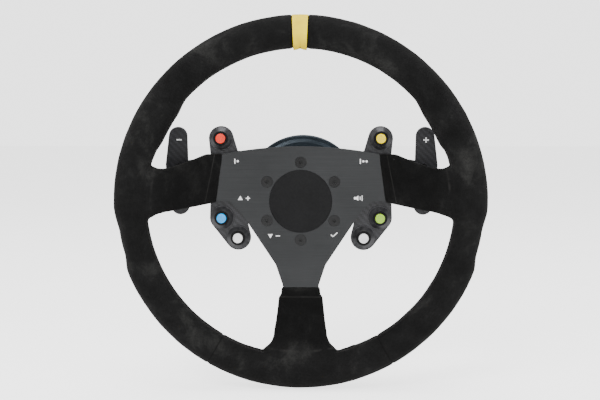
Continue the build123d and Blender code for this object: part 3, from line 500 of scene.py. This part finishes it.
CAP = moulded("matt_black_cap", srgb(17, 17, 18), 0.7, 700, 0.2)
CAP.node_tree.nodes["Principled BSDF"].inputs["Specular IOR Level"].default_value = 0.18
CORD = moulded("black_cord_jacket", srgb(24, 24, 25), 0.42, 1500, 0.08)
FOAM = moulded("moulded_foam", srgb(44, 43, 42), 0.9, 600, 0.4)
BOARD = moulded("green_solder_mask", srgb(22, 74, 48), 0.35, 400, 0.1)
CAPS = {
    "button_red": gloss_cap("red_cap", srgb(232, 52, 22)),
    "button_blue": gloss_cap("blue_cap", srgb(20, 160, 236)),
    "button_yellow": gloss_cap("yellow_cap", srgb(244, 216, 10)),
    "button_green": gloss_cap("green_cap", srgb(150, 196, 40)),
    "button_white_left": gloss_cap("white_cap", srgb(246, 246, 246)),
    "button_white_right": gloss_cap("white_cap_right", srgb(246, 246, 246)),
}
NODE_FINISH = {
    "hub_flange": DARK_ANODISED, "hub_body": BODY_ANODISED, "hub_nose": BODY_ANODISED,
    "flange_screws": BLACK_OXIDE, "nose_screws": BRIGHT, "qr_spigot": STEEL, "hub_gold_ring": GOLD,
    "release_collar": GOLD, "collar_lip": BRONZE, "qr_sleeve": BLACK_ANODISED, "locking_balls": STEEL,
    "collar_circlip": STEEL, "collar_spring": STEEL, "electronics_housing": MOULDED,
    "housing_screws": BRIGHT, "circuit_board": BOARD, "cable_gland": MOULDED, "button_plate": CARBON,
    "plate_spacer": MOULDED, "rim_core": STEEL, "spoke_plate": PLATE, "centre_cap": CAP,
    "plate_screws": BLACK_OXIDE, "rim_foam": FOAM, "button_bezels": BEZEL,
    "switch_bodies": MOULDED, "switch_nuts": BRIGHT, "button_springs": STEEL,
    "shifter_block_left": BLACK_ANODISED, "shifter_block_right": BLACK_ANODISED,
    "lever_back_plate_left": BLACK_ANODISED, "lever_back_plate_right": BLACK_ANODISED,
    "stop_magnets": BRIGHT, "lever_magnet_left": BRIGHT, "lever_magnet_right": BRIGHT,
    "block_screws": BRIGHT, "lever_pins": STEEL, "microswitches": MOULDED,
    "paddle_arm_left": BLACK_ANODISED, "paddle_arm_right": BLACK_ANODISED,
    "paddle_blade_left": CARBON, "paddle_blade_right": CARBON,
    "blade_screws_left": BLACK_OXIDE, "blade_screws_right": BLACK_OXIDE,
    "cord_socket": MOULDED, "cord_plug": MOULDED, "rim_cover": SUEDE, "centre_marker": TAPE,
    "spoke_wrap_left": SUEDE, "spoke_wrap_right": SUEDE, "spoke_wrap_lower": SUEDE,
    "cord_lead_hub": CORD, "cord_lead_wheel": CORD, "cord_coil": CORD,
}
NODE_FINISH.update(CAPS)
for node, finish in NODE_FINISH.items():
    covered(nodes[node], finish)


# ---- coiled lead ---------------------------------------------------------------------------------
# corners of the route from the wheel's gland to the plug at the hub's root, as (y, z)
CORD_ROUTE = [
    (-0.0940, -0.0530), (-0.0940, -0.0710), (-0.0875, -0.0895), (-0.0750, -0.1040), (-0.0575, -0.1115),
    (-0.0400, -0.1085), (-0.0285, -0.0945), (-0.0260, -0.0780), (-0.0260, -0.0630),
]
CORD_THICK = 5.0 * MM
COIL_R = 7.0 * MM
COIL_PITCH = 6.3 * MM
TURN_POINTS = 24
SETTLE = 3 * math.pi     # how far the coil turns before it is centred on its route
LEAD_IN = 6.0 * MM       # straight lead before the coil
LEAD_OUT = 18.0 * MM     # and after it
POINTS_IN = 4
POINTS_OUT = 6


def route_points():
    """Points along one smooth curve that has the route's corners as its control points."""
    curve = bpy.data.curves.new("cord_route", "CURVE")
    curve.dimensions = "3D"
    spline = curve.splines.new("NURBS")
    spline.points.add(len(CORD_ROUTE) - 1)
    for point, (y, z) in zip(spline.points, CORD_ROUTE):
        point.co = (0, y, z, 1)
    spline.order_u = 3
    spline.use_endpoint_u = True
    spline.resolution_u = 24
    line = bpy.data.objects.new("cord_route", curve)
    bpy.context.collection.objects.link(line)
    mesh = bpy.data.meshes.new_from_object(line)
    points = [v.co.copy() for v in mesh.vertices]
    bpy.data.objects.remove(line)
    bpy.data.meshes.remove(mesh)
    return points


def coil_steps(long_way):
    """The coil as (distance along the route, angle) pairs.

    The lead bends over from straight on to the coil's slope, winds, and straightens again.
    """
    slope = math.atan2(2 * math.pi * COIL_R, COIL_PITCH)
    step = 2 * math.pi * COIL_R / TURN_POINTS
    heading = far = angle = 0.0
    half = [(far, angle)]
    while far < long_way / 2:
        heading = min(heading + step / COIL_R, slope)
        far += math.cos(heading) * step
        angle += math.sin(heading) * step / COIL_R
        half.append((far, angle))
    (far_a, angle_a), (far_b, angle_b) = half[-2:]
    middle = angle_a + (angle_b - angle_a) * (long_way / 2 - far_a) / (far_b - far_a)
    half.pop()
    return half + [(long_way - far, 2 * middle - angle) for far, angle in reversed(half)]


def coiled_path():
    """The lead's own line: straight, then a helix about the route, then straight."""
    route = route_points()
    gone = [0.0]
    for a, b in zip(route, route[1:]):
        gone.append(gone[-1] + (b - a).length)
    total = gone[-1]

    def at(distance):
        i = max(k for k in range(len(route) - 1) if gone[k] <= distance or k == 0)
        share = (distance - gone[i]) / (gone[i + 1] - gone[i])
        step = (route[i + 1] - route[i]).normalized()
        return route[i].lerp(route[i + 1], share), step

    across = Vector((1, 0, 0))
    path = [at(LEAD_IN * k / POINTS_IN)[0] for k in range(POINTS_IN)]
    steps = coil_steps(total - LEAD_IN - LEAD_OUT)
    last_angle = steps[-1][1]
    for far, angle in steps:
        centre, ahead = at(LEAD_IN + far)
        up = ahead.cross(across)
        into = 1 - eased(angle, 0, SETTLE)
        out = 1 - eased(last_angle - angle, 0, SETTLE)
        side = math.cos(angle) - into - out * math.cos(last_angle)
        lift = math.sin(angle) - out * math.sin(last_angle)
        path.append(centre + (across * side + up * lift) * COIL_R)
    path += [at(total - LEAD_OUT + LEAD_OUT * k / POINTS_OUT)[0] for k in range(1, POINTS_OUT)]
    path.append(route[-1])
    return path


def make_cord():
    """A round tube along the lead's line, stretching between the hub and the wheel."""
    path = coiled_path()
    curve = bpy.data.curves.new("coiled_lead", "CURVE")
    curve.dimensions = "3D"
    spline = curve.splines.new("POLY")
    spline.points.add(len(path) - 1)
    for point, place in zip(spline.points, path):
        point.co = (*place, 1)
    curve.bevel_depth = CORD_THICK / 2
    curve.bevel_resolution = 3
    curve.use_fill_caps = True
    lead = bpy.data.objects.new("coiled_lead", curve)
    bpy.context.collection.objects.link(lead)
    only(lead)
    bpy.ops.object.convert(target="MESH")
    lead = bpy.context.object
    bpy.ops.object.shade_smooth()
    lead.name = "coiled_lead"
    lead.data.name = "coiled_lead"
    covered(lead, CORD)
    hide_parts("cord_coil", "cord_lead_hub", "cord_lead_wheel")
    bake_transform(lead)


make_cord()


# ---- springs -------------------------------------------------------------------------------------
WELD = 0.001 * MM


def make_springs():
    """Welded copies of the springs, one for the collar and one for each button, each named after it.
    """
    coils = {}
    for node in ("collar_spring", "button_springs"):
        twin = copied(nodes[node])
        twin.parent = None
        for key in list(twin.keys()):    # the frame's own marks stay on the CAD node alone
            del twin[key]
        edit(twin)
        bpy.ops.mesh.select_all(action="SELECT")
        bpy.ops.mesh.remove_doubles(threshold=WELD)
        bpy.ops.mesh.separate(type="LOOSE")
        bpy.ops.object.mode_set(mode="OBJECT")
        coils[node] = list(bpy.context.selected_objects)
    pushed = [(coils["collar_spring"][0], "collar_spring", "collar", False)]
    for button in CAPS:
        low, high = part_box(button)
        middle = (low + high) / 2

        def away(coil):
            return (coil.data.vertices[0].co - middle).xz.length
        pushed.append((min(coils["button_springs"], key=away), "button_springs", button, True))
    for coil, node, body, front_moves in pushed:
        coil.name = coil.data.name = "spring_" + body
        covered(coil, STEEL)
        only(coil)
        bpy.ops.object.shade_smooth()
        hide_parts(node)
        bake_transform(coil)


make_springs()


# ---- suede skin ----------------------------------------------------------------------------------
def hump(angle, rise_from, rise_to, fall_from, fall_to):
    return eased(angle, rise_from, rise_to) * (1 - eased(angle, fall_from, fall_to))


def rim_blank():
    """The grip: a ring, slightly flatter along the axis, with thumb swells and palm flats."""
    start()
    bpy.ops.mesh.primitive_torus_add(
        location=(0, rim_y, 0), rotation=(math.pi / 2, 0, 0), major_segments=300, minor_segments=36,
        major_radius=rim_r, minor_radius=grip_half)
    ring = bpy.context.object
    settle(ring)
    mesh = edit(ring)
    for v in mesh.verts:
        v.co.y = rim_y + (v.co.y - rim_y) * grip_deep / grip_half
        out = math.hypot(v.co.x, v.co.z)
        moved = out - thumb_and_palm(v.co.x, v.co.z, (out - rim_r) / grip_half)
        v.co.x *= moved / out
        v.co.z *= moved / out
    leave(ring)
    return ring


def rise(distance, fold):
    share = min(max((distance - fold) / (RISE_END - fold), 0), 1)
    return plate_mid - (plate_mid - rim_y) * share


def steps_along(runs, fold):
    """Turns (distance, middle, height, thickness, turn) rows into a first face and steps."""
    rows = [
        (Vector((far, rise(far, fold), mid)), high, deep, turn)
        for far, mid, high, deep, turn in runs
    ]
    steps = [(b[0] - a[0], b[1], b[2], b[3]) for a, b in zip(rows, rows[1:])]
    return rows[0][:3], steps


def metres(runs, turns):
    """Rows given in millimetres, with the turn of the leading face at the rows named in turns."""
    return [(*(value * MM for value in row), turns.get(k, 0)) for k, row in enumerate(runs)]


def side_spoke_blank():
    """Right-hand spoke, from a thin lip on the plate, over a fold, out to the rim."""
    # (distance out, middle, height, thickness), millimetres
    runs = (
        (64, 20.6, 45, 6.4), (81.4, 20.6, 44.4, 6.4), (82.6, 20.4, 44.2, 9.6), (93, 17.6, 43.4, 10.4),
        (105, 14.2, 40.8, 11.4), (117, 11.4, 38.6, 12.4), (126, 10.4, 39.6, 13.4),
        (132, 10.4, 45, 14.5), (138, 11, 56, 15), (144, 12, 62, 15),
    )
    first, steps = steps_along(metres(runs, {1: FOLD_LEAN, 3: -FOLD_LEAN}), FOLD_OUT)
    bar = drawn_bar(first, steps)
    edit(bar)
    bpy.ops.mesh.select_all(action="SELECT")
    bpy.ops.mesh.bisect(
        plane_co=(73 * MM, 0, 21.7 * MM), plane_no=(-0.99, 0, -0.14), clear_outer=True, use_fill=True)
    bpy.ops.object.mode_set(mode="OBJECT")
    return bar


def lower_spoke_blank():
    """Lower spoke, drawn out sideways and then turned to point down."""
    # (distance down, middle, width, thickness), millimetres
    runs = (
        (77.6, 0, 35.4, 6.4), (85.4, 0, 35.8, 6.4), (87, 0, 39.6, 9.6), (96, 0, 41.4, 10.4),
        (109, 0, 44.6, 11.4), (119, 0, 48, 12.4), (125, 0, 52, 13.4), (130, 0, 61, 14.5),
        (135, 0, 75, 15), (143, 0, 92, 15),
    )
    first, steps = steps_along(metres(runs, {}), FOLD_DOWN)
    bar = drawn_bar(first, steps)
    only(bar)
    bar.rotation_euler = (0, math.pi / 2, 0)
    settle(bar)
    return bar


def rounded_bar(bar, width):
    """Corners rounded off along the bar."""
    finish_with(
        bar, "BEVEL", width=width, segments=3, limit_method="ANGLE", angle_limit=math.radians(60))


SEAM_ANGLE = math.radians(14)      # how far the sewn seam sits round towards the driver
THUMB_SPAN = (17, 25, 35, 43)      # degrees above the level of the axis: rise, then fall
PALM_SPAN = (-22, -16, -9, -1)
SWELL = 3.2 * MM


def thumb_and_palm(x, z, side):
    """How far the grip's surface moves in towards the centre at a place on the rim."""
    angle = math.degrees(math.atan2(z, abs(x)))
    thumb = hump(angle, *THUMB_SPAN) * max(-side, 0)
    palm = hump(angle, *PALM_SPAN) * max(side, 0)
    return SWELL * thumb + SWELL * palm


SEAM_DEEP = 0.55 * MM
SEAM_WIDE = 1.1 * MM
SEAM_RIDGE = 0.25 * MM             # the suede stands up a little either side of the seam
RIDGE_AWAY = 2.6 * MM
RIDGE_WIDE = 1.2 * MM
JOIN_DEEP = 0.7 * MM
JOIN_WIDE = 1.0 * MM
UNDER_BAND = 1.1 * MM              # the skin is drawn in under the marker band
SPOKE_LOW, SPOKE_HIGH = -12 * MM, 48 * MM
LOWER_SPOKE_HALF = 48 * MM
EVEN_DRAG, PULLED_DRAG = 0.2 * MM, 0.7 * MM
COARSE_DRAG, FINE_DRAG = 70, 190   # how often the unevenness repeats, per metre


def dip(distance, width):
    """One on a line, falling away smoothly over the width."""
    return math.exp(-(distance / width) ** 2)


def sewn_and_rubbed(skin):
    """Seam groove, panel joins, drag creases by the spokes and the unevenness of hand-laid suede."""
    mesh = bmesh.new()
    mesh.from_mesh(skin.data)
    mesh.normal_update()
    for v in mesh.verts:
        x, y, z = v.co
        out = math.hypot(x, z)
        ring_x = out - rim_r
        ring_y = y - rim_y
        depth = 0.0
        near_ring = eased(out, 128 * MM, 133 * MM)
        if near_ring:
            inner = math.atan2(-ring_y, -ring_x)
            seam = (inner - SEAM_ANGLE) * grip_half
            depth += SEAM_DEEP * dip(seam, SEAM_WIDE) * near_ring
            depth -= SEAM_RIDGE * dip(abs(seam) - RIDGE_AWAY, RIDGE_WIDE) * near_ring
            gap = (math.atan2(z, abs(x)) + PANEL_JOIN) * out
            depth += JOIN_DEEP * dip(gap, JOIN_WIDE)
        if z > 0:
            depth += UNDER_BAND * (1 - eased(abs(x), band_half - 0.2 * MM, band_half + 0.9 * MM))
        along_spoke = max(abs(x) * (SPOKE_LOW < z < SPOKE_HIGH), -z * (abs(x) < LOWER_SPOKE_HALF))
        pull = eased(along_spoke, 108 * MM, 124 * MM) * (1 - eased(along_spoke, 136 * MM, 146 * MM))
        coarse = noise.noise(Vector((x * COARSE_DRAG, y * COARSE_DRAG, z * COARSE_DRAG)))
        drag = coarse + 0.5 * noise.noise(v.co * FINE_DRAG)
        depth += (EVEN_DRAG + PULLED_DRAG * pull) * drag
        v.co -= v.normal * depth
    mesh.to_mesh(skin.data)
    mesh.free()


WRAP_EDGE = 2.2 * MM
SKIN_VOXEL = 1.3 * MM


def make_suede():
    """One skin over the grip and the three wraps, drawn tight and smoothed."""
    ring = rim_blank()
    right = side_spoke_blank()
    rounded_bar(right, WRAP_EDGE)
    left = mirrored(right)
    lower = lower_spoke_blank()
    rounded_bar(lower, WRAP_EDGE)
    skin = joined(ring, right, left, lower)
    finish_with(skin, "REMESH", mode="VOXEL", voxel_size=SKIN_VOXEL)
    finish_with(skin, "SMOOTH", factor=0.5, iterations=6)
    sewn_and_rubbed(skin)
    only(skin)
    bpy.ops.object.shade_smooth()
    named(skin, "suede_skin", "wheel", SUEDE)
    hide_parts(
        "rim_cover", "rim_foam", "spoke_wrap_left", "spoke_wrap_right", "spoke_wrap_lower")


make_suede()


STITCH_ACROSS = 2.5 * MM
STITCH_GAP = 3.0 * MM
STITCH_LEAN = 0.62           # radians either side of square across the seam
THREAD_R = 0.42 * MM
THREAD_SIDES = 6


def make_stitching():
    """A row of crossed stitches along the seam, inside the rim."""
    in_r = rim_r - grip_half * math.cos(SEAM_ANGLE)
    seam_y = rim_y - grip_deep * math.sin(SEAM_ANGLE)
    count = round(2 * math.pi * in_r / STITCH_GAP)
    halves = []
    for lean in (-1, 1):
        start()
        place = Vector((in_r + 0.15 * MM, seam_y, 0))
        bpy.ops.mesh.primitive_cylinder_add(
            vertices=THREAD_SIDES, radius=THREAD_R, depth=STITCH_ACROSS * 1.3, location=place,
            rotation=(math.pi / 2, 0, 0), end_fill_type="NGON")
        half = bpy.context.object
        half.rotation_euler.rotate_axis("X", lean * STITCH_LEAN)
        settle(half)
        mesh = edit(half)
        ends = [f for f in mesh.faces if len(f.verts) == THREAD_SIDES]
        for tip in ends:
            for f in mesh.faces:
                f.select = f == tip
            bmesh.update_edit_mesh(half.data)
            middle = tip.calc_center_median()
            down = Vector((0.9 * MM, 0, 0)) + tip.normal * 0.3 * MM
            bpy.ops.mesh.extrude_region_move(TRANSFORM_OT_translate={"value": down})
            bpy.ops.transform.resize(value=(0.7, 0.7, 0.7), center_override=middle + down)
            mesh = bmesh.from_edit_mesh(half.data)
            mesh.faces.ensure_lookup_table()
            ends = [f for f in mesh.faces if len(f.verts) == THREAD_SIDES]
        bpy.ops.object.mode_set(mode="OBJECT")
        halves.append(half)
    row = joined(*halves)
    edit(row)
    bpy.ops.mesh.select_all(action="SELECT")
    bpy.ops.mesh.spin(steps=count, angle=2 * math.pi, dupli=True, center=(0, 0, 0), axis=(0, 1, 0))
    bpy.ops.object.mode_set(mode="OBJECT")
    mesh = edit(row)
    for v in mesh.verts:
        out = math.hypot(v.co.x, v.co.z)
        moved = out - thumb_and_palm(v.co.x, v.co.z, -math.cos(SEAM_ANGLE))
        v.co.x *= moved / out
        v.co.z *= moved / out
    leave(row)
    bpy.ops.object.shade_smooth()
    named(row, "rim_stitching", "wheel", THREAD)


make_stitching()


# ---- printed marks -------------------------------------------------------------------------------
MARK_THICK = 0.12 * MM
MARK_CLEAR = 0.02 * MM       # the ink's back stands this far off the surface


def mark_bar(x, z, width, height, face, turn=0.0):
    """A printed bar with its corners eased, lying on the plane y = face."""
    start()
    bpy.ops.mesh.primitive_plane_add(size=1, location=(x, face, z), rotation=(math.pi / 2, 0, 0))
    bar = bpy.context.object
    bar.scale = (width, height, 1)
    settle(bar)
    edit(bar)
    bpy.ops.mesh.select_all(action="SELECT")
    if turn:
        bpy.ops.transform.rotate(value=turn, orient_axis="Y", center_override=(x, face, z))
    bpy.ops.mesh.bevel(offset=0.12 * min(width, height), segments=2, affect="VERTICES")
    bpy.ops.object.mode_set(mode="OBJECT")
    return bar


def mark_disc(x, z, radius, face, sides=32):
    start()
    bpy.ops.mesh.primitive_circle_add(
        vertices=sides, radius=radius, fill_type="NGON", location=(x, face, z),
        rotation=(math.pi / 2, 0, 0))
    disc = bpy.context.object
    settle(disc)
    return disc


def mark_arrow(x, z, size, face, down=False):
    """A triangle that points up or down."""
    tri = mark_disc(x, z, size, face, 3)
    if down:
        edit(tri)
        bpy.ops.mesh.select_all(action="SELECT")
        bpy.ops.transform.rotate(value=math.pi, orient_axis="Y", center_override=(x, face, z))
        bpy.ops.object.mode_set(mode="OBJECT")
    return tri


def mark_plus_sign(x, z, size, line, face):
    """A cross of three bars that meet without overlapping."""
    arm = (size - line) / 2
    away = (line + arm) / 2
    return joined(
        mark_bar(x, z, size, line, face), mark_bar(x, z + away, line, arm, face),
        mark_bar(x, z - away, line, arm, face))


def mark_horn(x, z, face):
    """A sounder: a small box, a flaring mouth and two bars of sound."""
    box = mark_bar(x - 3.4 * MM, z, 2.0 * MM, 2.2 * MM, face)
    mouth = mark_bar(x - 1.4 * MM, z, 2.0 * MM, 2.2 * MM, face)
    mesh = edit(mouth)
    for v in mesh.verts:
        v.select = v.co.x > x - 1.4 * MM
    mesh.select_flush_mode()
    bmesh.update_edit_mesh(mouth.data)
    bpy.ops.transform.resize(value=(1, 1, 2.0), center_override=(x, face, z))
    bpy.ops.object.mode_set(mode="OBJECT")
    near = mark_bar(x + 1.1 * MM, z, 0.7 * MM, 3.0 * MM, face)
    far = mark_bar(x + 2.9 * MM, z, 0.7 * MM, 4.8 * MM, face)
    return joined(box, mouth, near, far)


def make_marks():
    """Signs on the plate by each button, and a plus and a minus on the paddles."""
    face = plate_front - MARK_CLEAR
    pieces = {
        "mark_bar_one_dot": joined(mark_bar(-59.2 * MM, 36.1 * MM, 1.0 * MM, 4.4 * MM, face),
                               mark_disc(-56.6 * MM, 36.1 * MM, 1.0 * MM, face)),
        "mark_bar_two_dots": joined(mark_bar(53.6 * MM, 36.1 * MM, 1.0 * MM, 4.4 * MM, face),
                                mark_disc(56.2 * MM, 36.1 * MM, 1.0 * MM, face),
                                mark_disc(59.2 * MM, 36.1 * MM, 1.0 * MM, face)),
        "mark_up": joined(mark_arrow(-54.4 * MM, 2.4 * MM, 2.6 * MM, face),
                          mark_plus_sign(-47.6 * MM, 2.7 * MM, 3.8 * MM, 0.9 * MM, face)),
        "mark_down": joined(mark_arrow(-27.4 * MM, -31.0 * MM, 2.6 * MM, face, down=True),
                            mark_bar(-20.6 * MM, -31.4 * MM, 3.8 * MM, 0.9 * MM, face)),
        "mark_horn": mark_horn(52.4 * MM, 2.9 * MM, face),
        "mark_tick": joined(
            mark_bar(28.2 * MM, -31.0 * MM, 2.4 * MM, 0.9 * MM, face, math.radians(-45)),
            mark_bar(31.2 * MM, -30.1 * MM, 5.2 * MM, 0.9 * MM, face, math.radians(45))),
    }
    for name, piece in pieces.items():
        finish_with(piece, "SOLIDIFY", thickness=MARK_THICK, offset=1)
        named(piece, name, "wheel", INK)
    blade = blade_front - MARK_CLEAR
    plus = mark_plus_sign(115 * MM, 54.4 * MM, 5.0 * MM, 1.2 * MM, blade)
    minus = mark_bar(-113.2 * MM, 54.4 * MM, 5.0 * MM, 1.2 * MM, blade)
    signs = ((plus, "mark_plus", "paddle_right"), (minus, "mark_minus", "paddle_left"))
    for piece, name, body in signs:
        finish_with(piece, "SOLIDIFY", thickness=MARK_THICK, offset=1)
        named(piece, name, body, INK)


make_marks()


# ---- studio --------------------------------------------------------------------------------------
FLOOR_GAP = 0.5 * MM
FLOOR_SIZE = 12
FLOOR_GLOW_SEEN, FLOOR_GLOW = 1.75, 0.25    # what the eye sees of the floor's glow, and what lights
WALL_SEEN, ROOM_LIGHT = 2.7, 0.55           # the same for the room around


def make_studio():
    """Pale floor under the rim, pale wall behind, broad soft lights."""
    floor_z = cad_low.z - FLOOR_GAP
    start()
    bpy.ops.mesh.primitive_plane_add(size=FLOOR_SIZE, location=(0, 0, floor_z))
    floor = bpy.context.object
    floor.name = "studio_floor"
    pale = Finish("studio_white", (0.92, 0.92, 0.92, 1), 0.9)
    cloudy = pale.ramp(pale.noise(3, 2), (0.3, (0.9, 0.9, 0.9, 1)), (0.7, (0.94, 0.94, 0.94, 1)))
    pale.into(cloudy, "Base Color")
    pale.set("Emission Color", (1, 1, 1, 1))
    eye = pale.node("ShaderNodeLightPath").outputs["Is Camera Ray"]
    glow = pale.math("ADD", pale.math("MULTIPLY", eye, FLOOR_GLOW_SEEN), FLOOR_GLOW)
    pale.into(glow, "Emission Strength")
    floor.data.materials.append(pale.material)
    settle(floor)
    world = bpy.data.worlds.new("studio")
    world.use_nodes = True
    sky = world.node_tree
    backdrop = sky.nodes["Background"]
    backdrop.inputs["Strength"].default_value = WALL_SEEN
    ambient = sky.nodes.new("ShaderNodeBackground")
    ambient.inputs["Strength"].default_value = ROOM_LIGHT
    for shade in (backdrop, ambient):
        shade.inputs["Color"].default_value = (1, 1, 1, 1)
    seen = sky.nodes.new("ShaderNodeLightPath")
    either = sky.nodes.new("ShaderNodeMixShader")
    sky.links.new(seen.outputs["Is Camera Ray"], either.inputs[0])
    sky.links.new(ambient.outputs[0], either.inputs[1])
    sky.links.new(backdrop.outputs[0], either.inputs[2])
    sky.links.new(either.outputs[0], sky.nodes["World Output"].inputs["Surface"])
    bpy.context.scene.world = world
    for name, place, size, power in (
        ("key_light", (-0.7, -1.5, 1.2), 0.9, 30),
        ("fill_light", (1.1, -1.3, 0.6), 1.0, 14),
        ("top_light", (0.0, -0.1, 1.5), 1.2, 20),
    ):
        bpy.ops.object.light_add(type="AREA", location=place)
        light = bpy.context.object
        light.name = name
        light.data.energy = power
        light.data.size = size
        aim = Vector((0, -0.1, 0)) - Vector(place)
        light.rotation_euler = aim.to_track_quat("-Z", "Y").to_euler()


make_studio()
